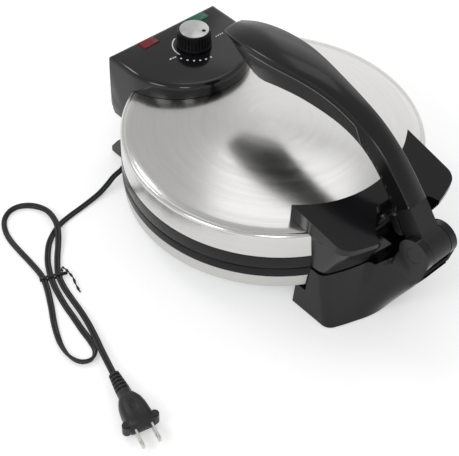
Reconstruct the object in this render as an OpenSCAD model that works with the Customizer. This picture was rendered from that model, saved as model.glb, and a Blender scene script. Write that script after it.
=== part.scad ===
// Electric roti maker: two round hot plates in a hinged steel body, pressed by an arched lever.
// The origin is on the table under the middle of the whole, +Z is up, -Y is the front
// with the lever pivot, and +Y is the back with the control box. Modules are drawn about
// the axis of the round plates, and placed() moves them to the origin's frame.

/* [Body] */
// Outer radius of the lid wall
pan_r = 125; // [115:1:150]
// Height of the steel base's lower edge above the table
base_h = 26; // [24:1:34]
// Height of the lower steel wall
lower_wall_h = 14; // [12:0.5:20]
// Height of the lower black ring
lower_ring_h = 8.7; // [7.5:0.1:12]
// Height of the upper black ring
upper_ring_h = 12.7; // [11:0.1:18]
// Height of the lid's straight steel wall
lid_wall_h = 19.3; // [17:0.1:28]
// Radius of the rolled edge between the lid's wall and its dome
lid_edge_r = 3.4; // [2:0.1:5]
// Rise of the dome from its edge to its middle
dome_rise = 7.2; // [4:0.2:10]
// Thickness of the steel sheet
sheet_t = 0.8; // [0.6:0.1:1.2]
// Gap between the two black rings when shut
seam_gap = 0.6; // [0.4:0.1:1.2]

/* [Hot plates] */
// Radius of the baking plates
plate_r = 107.7; // [86:0.1:109]
// Thickness of the baking plates
plate_t = 7.1; // [5:0.1:7.4]
// Radius on which the heating elements are bent
element_ring_r = 72; // [56:1:84]
// Radius of the heating element's tube
element_tube_r = 3.2; // [2.5:0.1:3.4]
// Radius on which the plate screws stand
plate_screw_ring_r = 45; // [35:1:52]

/* [Control box] */
// Half the width of the control box at its top
box_half_w = 59.4; // [52:0.2:64]
// Height of the control panel above the dome's crown
box_rise = 9.9; // [8:0.1:16]
// How far the control box stands out behind the lid
box_overhang = 16.7; // [15:0.1:24]
// Wall thickness of the moulded covers
wall_t = 2.6; // [2:0.1:3.2]
// Rounding of the panel's edge
box_edge_r = 5; // [3:0.1:7]
// Sideways place of the knob and lamps on the panel
panel_x = 6; // [-8:1:8]
// Distance of the knob in front of the hinge line
knob_back = 18; // [14:0.5:24]
// Radius of the knob at its base
knob_r = 15.3; // [12:0.1:18]
// Height of the knob
knob_h = 15.8; // [12:0.1:22]
// Length of a lamp lens
lens_l = 16.6; // [12:0.2:20]
// Width of a lamp lens
lens_w = 10; // [7:0.2:12]
// Distance between the lamp lenses' middles
lens_pitch = 57; // [52:0.5:62]

/* [Hinge] */
// Distance of the hinge line inside the lid's rear edge
hinge_inset = 1; // [0:0.2:2]
// Height of the hinge line above the seam between the rings
hinge_rise = 4.2; // [4:0.1:6]
// Radius of the hinge pins
hinge_pin_r = 2.5; // [2:0.1:3]

/* [Lever] */
// Distance of the lever pivot in front of the lid's wall
pivot_reach = 42.5; // [40:0.5:50]
// Depth of the lever pivot below the lid's rim
pivot_drop = 3.3; // [0:0.1:6]
// Radius of the lever pivot pin
lever_pin_r = 4; // [3:0.1:5]
// Radius of the round ears that hold the pivot pin
ear_r = 14; // [12:0.1:15]
// Half the width of the lever at its root
root_half_w = 10; // [8:0.1:12]
// Thickness of each pivot ear
ear_t = 6.2; // [5:0.1:9]

/* [Stands] */
// How far the front stand's foot reaches beyond the lid's wall
stand_reach = 26; // [22:0.5:36]
// Half the width of the front stand at the table
stand_half_w = 65.4; // [58:0.2:72]
// Distance of the front stand's rear edge inside the lid's wall
stand_depth = 27.4; // [24:0.2:32]
// How far the rear stand reaches beyond the lid's wall
rear_reach = 10.5; // [8:0.5:16]
// Height of the rubber feet under the stands
foot_gap = 1.2; // [0.8:0.1:2.5]

/* [Front bracket] */
// Half the width of the bracket's wings at the rear
wing_half_w = 67.2; // [60:0.2:74]
// How far the wings reach beyond the lid's wall
wing_reach = 27; // [23:0.5:30]
// Height of the wings' rear edge above the lid's rolled edge
wing_rise = 17; // [14:0.1:22]
// Fall of the wings' top per millimetre forward
wing_fall = 0.204; // [0.1:0.002:0.22]

/* [Cord] */
// Width of the flat two-core cord
cord_w = 5.2; // [4.6:0.1:5.4]
// Thickness of the flat two-core cord
cord_t = 3; // [2.6:0.1:3.2]

/* [Hidden] */
$fn = 96;

seat_gap = 0.3;      // between pieces that sit on each other
run_gap = 0.05;      // radial play of a pin in a bore
fix_gap = 0.02;      // radial play of a piece that is pushed in
side_gap = 0.4;      // along a hinge line, between ear and arm

// Heights of the body's layers
ring_z0 = base_h + lower_wall_h;
seam_z0 = ring_z0 + lower_ring_h;
seam_z1 = seam_z0 + seam_gap;
lid_z0 = seam_z1 + upper_ring_h;
rim_z = lid_z0 + lid_wall_h;
edge_z = rim_z + lid_edge_r;
crown_z = edge_z + dome_rise;
cover_z = base_h - seat_gap - 1.2;
dome_edge_r = pan_r - lid_edge_r;
dome_ball_r = (dome_edge_r * dome_edge_r + dome_rise * dome_rise) / (2 * dome_rise);

hinge_z = seam_z1 + hinge_rise;
pivot_z = rim_z - pivot_drop;
wing_z = edge_z + wing_rise;
box_top_z = crown_z + box_rise;

hinge_y = pan_r - hinge_inset;
pivot_y = -(pan_r + pivot_reach);
knob_y = hinge_y - knob_back;
lens_y = hinge_y + 9;
box_round_y = hinge_y - 10;
box_back_y = pan_r + box_overhang;
box_draft = 0.062;
plate_gap = 0.6;
lower_plate_z = seam_z0 - seat_gap - plate_t;
upper_plate_z = seam_z1 + seat_gap;
arm_in_x = box_half_w - 2.4;
tower_out_x = arm_in_x - side_gap;
tower_in_x = tower_out_x - 7;

// Place of the plates' axis, so that the whole is centred from front to back
plates_y = (ear_r - pivot_y - box_back_y - 1) / 2;

module placed() { translate([0, plates_y, 0]) children(); }

function arc(cx, cy, r, a0, a1, n) =
    [for (i = [0:n]) let (a = a0 + (a1 - a0) * i / n) [cx + r * cos(a), cy + r * sin(a)]];
function dome_z(r, drop = 0) =
    crown_z - drop - dome_ball_r + sqrt(pow(dome_ball_r, 2) - r * r);
function reversed(list) = [for (i = [len(list) - 1:-1:0]) list[i]];
// Left half of an outline, mirrored to a whole one
function mirrored(half) = concat(half, [for (p = reversed(half)) [-p[0], p[1]]]);

module around(n, first = 0) {
    for (i = [0:n - 1]) rotate([0, 0, first + 360 * i / n]) children();
}

module both_sides() {
    children();
    mirror([1, 0, 0]) children();
}

// Extrudes an outline drawn in y and z along x, centred
module along_x(width) {
    rotate([90, 0, 90]) linear_extrude(width, center = true) children();
}

module screw(length, shank_r, head_r, head_h) {
    cylinder(length, r = shank_r);
    translate([0, 0, -head_h]) difference() {
        cylinder(head_h, r = head_r);
        for (a = [0, 90]) rotate([0, 0, a]) translate([-head_r * 0.6, -0.4, -0.1])
            cube([head_r * 1.2, 0.8, head_h * 0.5]);
    }
}

// ---- Steel body -------------------------------------------------------------------------

function lid_line(grow) = concat(
    [[pan_r + grow, rim_z]],
    arc(dome_edge_r, rim_z, lid_edge_r + grow, 12, 84, 6),
    [for (i = [0:12]) let (r = dome_edge_r * (1 - i / 12)) [r, dome_z(r, -grow)]]);

// Everything the lid fills from outside, grown by a clearance
module lid_envelope(grow) {
    rotate_extrude() polygon(concat([[0, 0], [pan_r + grow, 0]], lid_line(grow)));
}

module lid_shell() {
    color("gainsboro") difference() {
        rotate_extrude() polygon(concat([[pan_r, lid_z0]], lid_line(0),
            reversed(lid_line(-sheet_t)), [[pan_r - sheet_t, lid_z0]]));
        bracket_screw_places() cylinder(30, r = bracket_screw_r + 0.3, center = true);
        lid_screw_places() cylinder(60, r = lid_screw_r + 0.3, center = true);
    }
}

module base_shell() {
    wall_r = pan_r - 0.7;
    color("gainsboro") difference() {
        rotate_extrude() polygon(concat(
            [[wall_r, ring_z0], [wall_r - 0.3, base_h + 3]],
            arc(wall_r - 2.8, base_h + 2.5, 2.5, 0, -90, 6), [[pan_r - 13, base_h]],
            [[pan_r - 13, base_h + sheet_t]],
            arc(wall_r - 2.8, base_h + 2.5, 2.5 - sheet_t, -90, 0, 6),
            [[wall_r - 0.3 - sheet_t, base_h + 3], [wall_r - sheet_t, ring_z0]]));
        cover_screw_places() cylinder(9, r = 1.9, center = true);
    }
}

dish_r = pan_r - 44;

module bottom_cover() {
    color("silver") difference() {
        rotate_extrude() polygon([[0, cover_z - 5], [dish_r, cover_z - 5],
            [dish_r + 5, cover_z], [pan_r - 7, cover_z], [pan_r - 7, cover_z + 1.2],
            [dish_r + 4.4, cover_z + 1.2], [dish_r - 0.6, cover_z - 3.8], [0, cover_z - 3.8]]);
        cover_screw_places() cylinder(9, r = 1.9, center = true);
        stand_screw_places() translate([0, 0, cover_z])
            cylinder(30, r = stand_screw_r + 0.3, center = true);
        around(10) translate([48, 0, cover_z - 5]) vent_slot(26, 4, 6);
    }
}

// A slot with round ends that runs outward from the middle
module vent_slot(length, width, depth) {
    translate([0, -width / 2, -1]) cube([length, width, depth]);
    for (x = [0, length]) translate([x, 0, -1]) cylinder(depth, r = width / 2);
}

module cover_screw_places() {
    around(4, 45) translate([pan_r - 10.2, 0, cover_z]) children();
}

module cover_screws() {
    color("dimgray") cover_screw_places() translate([0, 0, -0.1]) screw(6, 1.6, 3, 1.8);
}

module lower_ring() {
    out_r = pan_r + 0.2;
    color("#26262a") rotate_extrude() polygon([
        [plate_r + seat_gap, seam_z0], [out_r - 0.8, seam_z0], [out_r, seam_z0 - 0.8],
        [out_r, ring_z0 + seat_gap], [pan_r - 1.9, ring_z0 + seat_gap],
        [pan_r - 1.9, ring_z0 - 4.5], [pan_r - 5.2, ring_z0 - 4.5],
        [pan_r - 5.2, lower_plate_z - 3.3], [plate_r - 3.2, lower_plate_z - 3.3],
        [plate_r - 3.2, lower_plate_z - seat_gap], [plate_r + seat_gap, lower_plate_z - seat_gap]]);
}

module upper_ring() {
    out_r = pan_r + 0.2;
    top_z = upper_plate_z + plate_t;
    color("#26262a") rotate_extrude() polygon([
        [plate_r + seat_gap, seam_z1], [out_r - 0.8, seam_z1], [out_r, seam_z1 + 0.8],
        [out_r, lid_z0 - seat_gap], [pan_r - 1.1, lid_z0 - seat_gap], [pan_r - 1.1, lid_z0 + 5],
        [pan_r - 4.4, lid_z0 + 5], [pan_r - 4.4, top_z + 3.3], [plate_r - 3.2, top_z + 3.3],
        [plate_r - 3.2, top_z + seat_gap], [plate_r + seat_gap, top_z + seat_gap]]);
}

// ---- Hot plates, heaters and shields, the upper set a mirror of the lower -------------------

boss_h = 8;
shield_t = 0.6;
plate_screw_r = 2;

// Places a child drawn for the lower set, whose plate's face is at z = 0, face up
module lower_set() { translate([0, 0, lower_plate_z + plate_t]) children(); }
module upper_set() { translate([0, 0, upper_plate_z]) mirror([0, 0, 1]) children(); }

module plate_screw_places() {
    around(3, 30) translate([plate_screw_ring_r, 0, 0]) children();
}

module plate() {
    difference() {
        union() {
            rotate_extrude() polygon([[0, -plate_t], [plate_r, -plate_t], [plate_r, -1],
                [plate_r - 1, 0], [0, 0]]);
            plate_screw_places() translate([0, 0, -plate_t - boss_h]) cylinder(boss_h + 1, r = 6);
        }
        plate_screw_places() translate([0, 0, -plate_t - boss_h - 1])
            cylinder(boss_h, r = plate_screw_r + run_gap);
    }
}

// A ring of tube with its two cold ends turned away from the plate
module element() {
    mid_z = -plate_t - 0.1 - element_tube_r;
    rotate([0, 0, 12]) rotate_extrude(angle = 336) translate([element_ring_r, mid_z])
        circle(element_tube_r, $fn = 32);
    for (a = [12, -12]) rotate([0, 0, a]) translate([element_ring_r, 0, mid_z - 5.4])
        cylinder(5.4 + element_tube_r - 0.1, r = element_tube_r + 0.6);
}

module heat_shield() {
    top_z = -plate_t - boss_h - 0.1;
    difference() {
        rotate_extrude() polygon([[0, top_z - shield_t], [pan_r - 31, top_z - shield_t],
            [pan_r - 27, top_z + 4], [pan_r - 27.6, top_z + 4], [pan_r - 31.4, top_z], [0, top_z]]);
        plate_screw_places() translate([0, 0, top_z - 3]) cylinder(9, r = plate_screw_r + 0.3);
        for (a = [12, -12]) rotate([0, 0, a]) translate([element_ring_r, 0, top_z - 3])
            cylinder(9, r = element_tube_r + 1.4);
    }
}

module plate_screws() {
    plate_screw_places() translate([0, 0, -plate_t - boss_h - shield_t - 0.2])
        screw(7, plate_screw_r, 4, 1.8);
}

module lower_plate() { color("#3a3a3c") lower_set() plate(); }
module upper_plate() { color("#3a3a3c") upper_set() plate(); }
module lower_element() { color("#6b6660") lower_set() element(); }
module upper_element() { color("#6b6660") upper_set() element(); }
module lower_heat_shield() { color("silver") lower_set() heat_shield(); }
module upper_heat_shield() { color("silver") upper_set() heat_shield(); }
module lower_plate_screws() { color("dimgray") lower_set() plate_screws(); }
module upper_plate_screws() { color("dimgray") upper_set() plate_screws(); }

// ---- Front stand with the lever's pivot ears -----------------------------------------------

stand_back_y = -(pan_r - stand_depth);
stand_top_z = seam_z0 - 1.3;
stand_shelf_z = cover_z - 2.6;
stand_screw_r = 2;
front_post_x = 32;
front_post_y = stand_back_y - 6.5;
rear_post_x = 38;
root_slot_w = 2 * (root_half_w + side_gap);
ears_w = root_slot_w + 2 * ear_t;

// Plan of the front stand: straight sides, round corners and a front arc about the lid's axis
function stand_half(hw, front_r, corner_r) =
    let (cx = hw - corner_r, cy = -sqrt(pow(front_r - corner_r, 2) - cx * cx), a = atan2(cy, cx))
    concat([[hw, stand_back_y]], arc(cx, cy, corner_r, 0, a, 5), arc(0, 0, front_r, a, -90, 9));
function stand_plan(hw, front_r, corner_r) = mirrored(stand_half(hw, front_r, corner_r));

module stand_wedge(inset, z0) {
    hull() {
        translate([0, 0, z0]) linear_extrude(0.1)
            polygon(stand_plan(stand_half_w - inset, pan_r + stand_reach - inset, 9 - inset));
        translate([0, 0, stand_top_z - 0.1]) linear_extrude(0.1)
            polygon(stand_plan(stand_half_w - 3.5 - inset, pan_r + 10.2 - inset, 7 - inset));
    }
}

// The neck that flares from the stand's front arc up to the pivot ears
module stand_neck() {
    hull() {
        translate([0, 0, foot_gap]) linear_extrude(0.1) intersection() {
            polygon(stand_plan(stand_half_w, pan_r + stand_reach, 9));
            translate([-40, -(pan_r + 60)]) square([80, 56]);
        }
        translate([-ears_w / 2, pivot_y - 11, pivot_z - 20]) cube([ears_w, 31, 1]);
    }
}

module ears() {
    along_x(ears_w) {
        translate([pivot_y, pivot_z]) circle(ear_r);
        polygon([[pivot_y - ear_r + 0.4, pivot_z - 3], [pivot_y - 10.5, pivot_z - 19.5],
            [pivot_y + 19, pivot_z - 19.5], [pivot_y + ear_r - 0.6, pivot_z + 3]]);
    }
}

module front_stand() {
    color("#1b1b1d") difference() {
        union() {
            stand_wedge(0, foot_gap);
            stand_neck();
            ears();
            // Posts that carry the base on the stand
            stand_front_posts() cylinder(cover_z - seat_gap - foot_gap - 6, r = 5.5);
        }
        // Room for the steel base above the shelf
        difference() {
            translate([0, 0, stand_shelf_z]) cylinder(60, r = pan_r + 0.5);
            stand_front_posts() cylinder(cover_z - seat_gap - foot_gap - 6, r = 5.5);
        }
        // The hollow inside, up to the shelf and round the posts
        difference() {
            stand_hollow();
            stand_front_posts() cylinder(60, r = 5.5);
        }
        stand_front_posts() cylinder(60, r = stand_screw_r + 0.15, center = true);
        // Slot for the lever's root, and the bores for its pin and caps
        translate([-root_slot_w / 2, 0, 0]) translate([0, pivot_y, pivot_z]) rotate([0, 90, 0])
            cylinder(root_slot_w, r = ear_r + 0.6);
        translate([-root_slot_w / 2, pivot_y - 40, pivot_z]) cube([root_slot_w, 80, 40]);
        // Room in front for the lever when it lies swung open
        translate([-root_slot_w / 2, pivot_y - 40, pivot_z - 10.2]) cube([root_slot_w, 32, 40]);
        translate([0, pivot_y, pivot_z]) rotate([0, 90, 0]) {
            cylinder(ears_w + 2, r = lever_pin_r + fix_gap, center = true);
            for (s = [-1, 1]) translate([0, 0, s * (ears_w / 2)])
                cylinder(2.4, r = lever_pin_r + 2.5, center = true);
        }
    }
}

module stand_hollow() {
    intersection() {
        stand_wedge(wall_t, foot_gap - 0.2);
        union() {
            translate([0, 0, stand_shelf_z - wall_t - 60]) cylinder(60, r = pan_r + 40);
        }
        translate([-100, -(pan_r + 60), -1]) cube([200, pan_r + 60 + stand_back_y - wall_t, 60]);
    }
}

module stand_front_posts() {
    for (s = [-1, 1]) translate([s * front_post_x, front_post_y, foot_gap + 6]) children();
}

module front_stand_floor() {
    color("#1b1b1d") difference() {
        intersection() {
            linear_extrude(40) polygon(stand_plan(stand_half_w - wall_t - seat_gap,
                pan_r + stand_reach - wall_t - 1, 6));
            translate([-100, -(pan_r + 60), foot_gap + 0.4])
                cube([200, pan_r + 60 + stand_back_y - wall_t - seat_gap, 2]);
        }
        foot_places() cylinder(20, r = 2.2, center = true);
    }
}

// ---- Rear stand with the hinge towers -------------------------------------------------------

rear_front_y = pan_r - 37;
rear_back_y = pan_r + rear_reach;
rear_post_y = rear_front_y + 12;
rear_half_w = stand_half_w + 0.6;

module rear_wedge(inset) {
    top = stand_shelf_z + 2 - inset;
    along_x(2 * (rear_half_w - inset))
        polygon([[rear_front_y + inset, foot_gap - (inset > 0 ? 1 : 0)],
            [rear_back_y - inset, foot_gap - (inset > 0 ? 1 : 0)],
            [rear_back_y - inset, foot_gap + 5.5 - inset * 0.6], [rear_back_y - 9, top - 5],
            [rear_back_y - 22, top], [rear_front_y + inset, top]]);
}

module hinge_tower() {
    translate([(tower_in_x + tower_out_x) / 2, 0, 0]) along_x(tower_out_x - tower_in_x) {
        translate([hinge_y, hinge_z]) circle(7);
        polygon([[hinge_y - 7, hinge_z], [hinge_y - 7, 14], [hinge_y + 5.5, 14],
            [hinge_y + 5.5, hinge_z - 4]]);
    }
}

module rear_stand() {
    color("#1b1b1d") difference() {
        union() {
            difference() {
                rear_wedge(0);
                difference() {
                    rear_wedge(wall_t);
                    rear_posts() cylinder(60, r = 5.5);
                }
            }
            both_sides() hinge_tower();
        }
        rear_posts() cylinder(60, r = stand_screw_r + 0.15, center = true);
        both_sides() translate([tower_in_x - 1, hinge_y, hinge_z]) rotate([0, 90, 0])
            cylinder(12, r = hinge_pin_r + run_gap);
        // Hole for the cord's strain relief
        translate([-rear_half_w, relief_y, relief_z]) rotate([0, 90, 0])
            cylinder(20, r = 4 + seat_gap, center = true);
    }
}

module rear_posts() {
    for (s = [-1, 1]) translate([s * rear_post_x, rear_post_y, foot_gap + 6]) children();
}

module rear_stand_floor() {
    color("#1b1b1d") difference() {
        translate([-(rear_half_w - wall_t - seat_gap), rear_front_y + wall_t + seat_gap,
            foot_gap + 0.4]) cube([2 * (rear_half_w - wall_t - seat_gap),
            rear_back_y - rear_front_y - 2 * (wall_t + seat_gap), 2]);
        foot_places() cylinder(20, r = 2.2, center = true);
    }
}

module stand_screw_places() {
    for (s = [-1, 1]) {
        translate([s * front_post_x, front_post_y, 0]) children();
        translate([s * rear_post_x, rear_post_y, 0]) children();
    }
}

module stand_screws() {
    color("dimgray") stand_screw_places() translate([0, 0, foot_gap + 5.9])
        screw(cover_z + 3 - foot_gap - 5.9, stand_screw_r, 3.8, 2);
}

module foot_places() {
    for (x = [-52, 52]) {
        translate([x, -(pan_r - 8), 0]) children();
        translate([x, rear_back_y - 12, 0]) children();
    }
}

module rubber_feet() {
    color("#101010") foot_places() {
        cylinder(foot_gap + 0.1, r = 6.5);
        cylinder(foot_gap + 3.5, r = 2);
    }
}

// ---- Lever pivot ---------------------------------------------------------------------------

module lever_pin() {
    color("silver") translate([0, pivot_y, pivot_z]) rotate([0, 90, 0])
        cylinder(ears_w - 2.8, r = lever_pin_r, center = true);
}

module pivot_caps() {
    color("#1b1b1d") translate([0, pivot_y, pivot_z]) rotate([0, 90, 0])
        for (s = [-1, 1]) translate([0, 0, s * (ears_w / 2 - 0.55)])
            cylinder(1.1, r = lever_pin_r + 2.5 - fix_gap, center = true);
}

// ---- Lever: an arched body with an inlaid cover -----------------------------------------------

// Stations along the lever's top: forward place and height from the pivot, half width, depth
lever_stations = [
    [-6.5, 5.5, root_half_w - 0.5, 19.6], [9, 24.5, root_half_w - 0.5, 19.6],
    [29, 46, root_half_w - 0.5, 18.6], [47, 61.5, root_half_w - 0.4, 17.2], [66, 73, 10, 17], [87, 81, 10.4, 19], [109, 85.8, 12.2, 21],
    [131, 88, 15.5, 21.6], [152, 88, 18.4, 22.8], [174, 86.5, 19, 25], [192, 84.4, 17.4, 17.4],
    [206, 81.8, 14.4, 9.4], [217.5, 78.5, 10.4, 3.2]];
lever_steps = 3;

function spline(a, b, c, d, t) = 0.5 * ((2 * b) + (c - a) * t
    + (2 * a - 5 * b + 4 * c - d) * t * t + (3 * b - a - 3 * c + d) * t * t * t);
function smooth_line(list, steps) = let (n = len(list))
    concat([for (i = [0:n - 2]) for (k = [0:steps - 1])
        spline(list[max(i - 1, 0)], list[i], list[i + 1], list[min(i + 2, n - 1)], k / steps)],
        [list[n - 1]]);
lever_line = smooth_line(lever_stations, lever_steps);
lever_last = len(lever_line) - 1;

// Direction of the lever's run at a station, in degrees above the level
function lever_slope(i) = let (a = lever_line[max(i - 1, 0)], b = lever_line[min(i + 1, lever_last)])
    atan2(b[1] - a[1], b[0] - a[0]);
// A point of the lever's frame at station i: sideways u, above the top face v, onward w
function lever_point(i, u, v, w = 0) = let (s = lever_slope(i), p = lever_line[i])
    [u, pivot_y + p[0] + w * cos(s) - v * sin(s), pivot_z + p[1] + w * sin(s) + v * cos(s)];

// Joins rings of equal point counts into one closed skin
module loft(rings) {
    n = len(rings[0]);
    m = len(rings);
    points = [for (ring = rings) for (p = ring) p];
    sides = [for (j = [0:m - 2]) for (i = [0:n - 1]) for (f = [
        [j * n + i, j * n + (i + 1) % n, (j + 1) * n + (i + 1) % n],
        [j * n + i, (j + 1) * n + (i + 1) % n, (j + 1) * n + i]]) f];
    caps = [[for (i = [n - 1:-1:0]) i], [for (i = [0:n - 1]) (m - 1) * n + i]];
    polyhedron(points, concat(sides, caps), convexity = 8);
}

function body_section(i) = let (d = lever_line[i][3],
    w = lever_line[i][2] - (i < 4 ? 0.1 * i : body_inset))
    [[w, -0.6], [w - 0.5, 0], [-w + 0.5, 0], [-w, -0.6], [-w, -d * 0.45], [-w * 0.95, -d * 0.86],
    [-w * 0.86, -d], [w * 0.86, -d], [w * 0.95, -d * 0.86], [w, -d * 0.45]];
shell_t = 2.2;       // wall of the lever's top shell
body_inset = 0.4;    // how far the lower body lies inside the shell's face
cover_sink = 2;      // depth of the screws' seats under the top face

// Height of the shell's side: deep at the root, and a narrow rim over the grip
function skirt_h(i) = let (f = lever_line[i][0], d = lever_line[i][3],
    k = min(max((f - 61) / 11, 0), 1), q = k * k * (3 - 2 * k))
    (d - 3) * (1 - q) + min(5.2, d * 0.45) * q;
function shell_section(i) = let (w = lever_line[i][2], h = skirt_h(i))
    [[w, -1.5], [w - 0.45, -0.45], [w - 1.5, 0.25], [0, 1.4], [-w + 1.5, 0.25],
    [-w + 0.45, -0.45], [-w, -1.5], [-w, -h], [w, -h]];
// What fills the shell, drawn in by a clearance
function core_section(i, clear, low) = let (w = lever_line[i][2] - shell_t - clear)
    [[w, -shell_t - clear], [-w, -shell_t - clear], [-w, -skirt_h(i) - low],
    [w, -skirt_h(i) - low]];
function seat_section(i) = let (w = lever_line[i][2] + 2, h = skirt_h(i) + seat_gap)
    [[w, 4], [-w, 4], [-w, -h], [w, -h]];

shell_first = 4;
// Rings from station a to b, moved along the lever by a little so that no two lofts share one
function lever_rings(a, b, on, section) = [for (i = [a:b])
    [for (q = section(i)) lever_point(i, q[0], q[1], on)]];

module lever_body() {
    color("#1b1b1d") difference() {
        union() {
            difference() {
                loft(lever_rings(0, lever_last, 0, function (i) body_section(i)));
                loft(lever_rings(shell_first, lever_last, 1.1, function (i) seat_section(i)));
            }
            loft(lever_rings(shell_first - 1, lever_last - 1, -0.9,
                function (i) core_section(i, seat_gap, 1.2)));
            translate([0, pivot_y, pivot_z]) rotate([0, 90, 0])
                cylinder(2 * root_half_w, r = ear_r - 0.2, center = true);
        }
        translate([0, pivot_y, pivot_z]) rotate([0, 90, 0])
            cylinder(2 * root_half_w + 2, r = lever_pin_r + 1.5 + fix_gap, center = true);
        lever_screw_places() translate([0, 0, -cover_sink - 30]) {
            cylinder(40, r = lever_screw_r + 0.2);
            cylinder(30 - 9, r = 4);
        }
        pad_place() cylinder(20, r = lever_screw_r + 0.1);
    }
}

module lever_cover() {
    color("#2a2a2d") difference() {
        loft(lever_rings(shell_first, lever_last, 1.4, function (i) shell_section(i)));
        loft(lever_rings(shell_first - 1, lever_last - 1, -0.6,
            function (i) core_section(i, 0, 3)));
        lever_screw_places() translate([0, 0, -cover_sink - 20])
            cylinder(22.4, r = lever_screw_r + 0.1);
    }
}

lever_screw_r = 1.5;
lever_screw_stations = [16, 22, 27];

// Frames on the lever's top, +Z out of the face
module lever_screw_places() {
    for (i = lever_screw_stations) translate(lever_point(i, 0, 0, 2.2))
        rotate([lever_slope(i) + 0.4, 0, 0]) children();
}

module lever_screws() {
    color("dimgray") lever_screw_places() translate([0, 0, -cover_sink - 9.2])
        screw(11.4, lever_screw_r, 3.2, 1.8);
}

module lever_bush() {
    color("silver") translate([0, pivot_y, pivot_z]) rotate([0, 90, 0]) difference() {
        cylinder(2 * root_half_w - 0.2, r = lever_pin_r + 1.5, center = true);
        cylinder(2 * root_half_w + 2, r = lever_pin_r + run_gap, center = true);
    }
}

// Frame under the lever's root, +Y along the lever and +Z into its underside
root_slope = 50.3;
under_z = -11.1;
module root_frame() { translate([0, pivot_y, pivot_z]) rotate([root_slope, 0, 0]) children(); }
module pad_place() { root_frame() translate([0, 24, under_z - 8]) children(); }

// Steel shoe under the lever that bears on the bracket when the dough is pressed
module press_pad() {
    color("#b8b8b8") root_frame() {
        difference() {
            translate([0, 0, under_z - seat_gap]) mirror([0, 0, 1]) along_x(18)
                polygon([[14, 0], [30, 0], [31, 1.5], [31, 5], [28, 7.2], [17, 7.2], [13.6, 4]]);
            translate([0, 24, under_z - 12]) cylinder(6, r = 3.4);
            translate([0, 24, under_z - 12]) cylinder(20, r = lever_screw_r + 0.1);
        }
        translate([0, 24, under_z - 5.8]) cylinder(11, r = lever_screw_r);
        translate([0, 24, under_z - 7]) cylinder(1.4, r = 3);
    }
}

// ---- Front bracket: two wings and a skirt round the lid's edge ---------------------------------

bracket_screw_r = 2;
bracket_back_r = pan_r - 17.4;
wing_front_r = pan_r + wing_reach;
skirt_r = pan_r + 10.4;
slot_end_y = -(pan_r - 1);

// Plan of the wings, or of the skirt's lower edge
function bracket_half(w, front_r, corner_r) =
    let (hw = w - 2.8, cx = hw - corner_r, cy = -sqrt(pow(front_r - corner_r, 2) - cx * cx),
        a = atan2(cy, cx))
    concat([[w, -60]], arc(cx, cy, corner_r, 2, a, 8), arc(0, 0, front_r, a, -90, 14));

module bracket_outside() {
    top = mirrored(bracket_half(wing_half_w - 1.2, wing_front_r, 13));
    hull() {
        translate([0, 0, wing_z - 17]) linear_extrude(1) polygon(top);
        translate([0, 0, seam_z1 + 0.2]) linear_extrude(0.1)
            polygon(mirrored(bracket_half(wing_half_w - 3.6, skirt_r, 9)));
    }
    translate([0, 0, wing_z - 16.5]) linear_extrude(40) polygon(top);
}

function slot_half() = [[34.5, -wing_front_r - 8], [33, -(wing_front_r - 5)],
    [31, -(wing_front_r - 10)], [26, -(wing_front_r - 16)], [18, slot_end_y - 5.5],
    [14.5, slot_end_y - 2.5], [12, slot_end_y]];

module bracket_screw_places() {
    for (a = [-19, 19]) rotate([0, 0, a]) translate([0, -pan_r, lid_z0 + 11.5])
        rotate([90, 0, 0]) children();
}

module front_bracket() {
    color("#1b1b1d") difference() {
        intersection() {
            bracket_outside();
            along_x(200) polygon([[-60, wing_z + 23 * wing_fall], [-(pan_r + 45),
                wing_z - (pan_r + 45 - 83) * wing_fall], [-(pan_r + 45), 20], [-60, 20]]);
        }
        cylinder(200, r = bracket_back_r);
        lid_envelope(seat_gap);
        translate([0, 0, pivot_z - 8]) linear_extrude(60) polygon(mirrored(slot_half()));
        // Notch that lets the lid rise past the lever's root and its pad
        translate([-root_half_w - 3, -(pan_r + 60), 0])
            cube([2 * root_half_w + 6, 60 - 2.5, 120]);
        bracket_screw_places() cylinder(9.5, r = bracket_screw_r + run_gap);
    }
}

module bracket_screws() {
    color("dimgray") bracket_screw_places() translate([0, 0, -sheet_t - 0.1])
        screw(9.5, bracket_screw_r, 3.6, 1.6);
}

// ---- Control box -----------------------------------------------------------------------------

// Half width of the box at a height, wider towards the bottom
function box_w(z) = box_half_w + (box_top_z - z) * box_draft;
function box_line(inset, z0) = let (er = max(box_edge_r - inset, 1), top = box_top_z - inset)
    concat([[0, z0], [box_w(z0) - inset, z0]],
        arc(box_w(box_top_z) - inset - er, top - er, er, 4, 90, 6), [[0, top]]);

// The box as a solid: half round in front, straight behind, shrunk by an inset
module box_solid(inset, z0) {
    er = max(box_edge_r - inset, 1);
    top = box_top_z - inset;
    translate([0, box_round_y, 0]) rotate([0, 0, 180]) rotate_extrude(angle = 180)
        polygon(box_line(inset, z0));
    intersection() {
        translate([0, box_round_y + 60, 0]) rotate([90, 0, 0]) linear_extrude(60)
            polygon(mirrored(box_line(inset, z0)));
        along_x(200) polygon(concat([[box_round_y - 10, z0], [box_back_y + 1.5 - inset, z0]],
            arc(box_back_y - inset - er, top - er, er, 0, 90, 6), [[box_round_y - 10, top]]));
        // Rounded upright corners at the back
        linear_extrude(200) polygon(mirrored(concat([[80, 0], [80, box_back_y - 20]],
            arc(box_w(60) - 7 - inset, box_back_y - 6.5 - inset, 7, 0, 90, 6))));
    }
}

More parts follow.
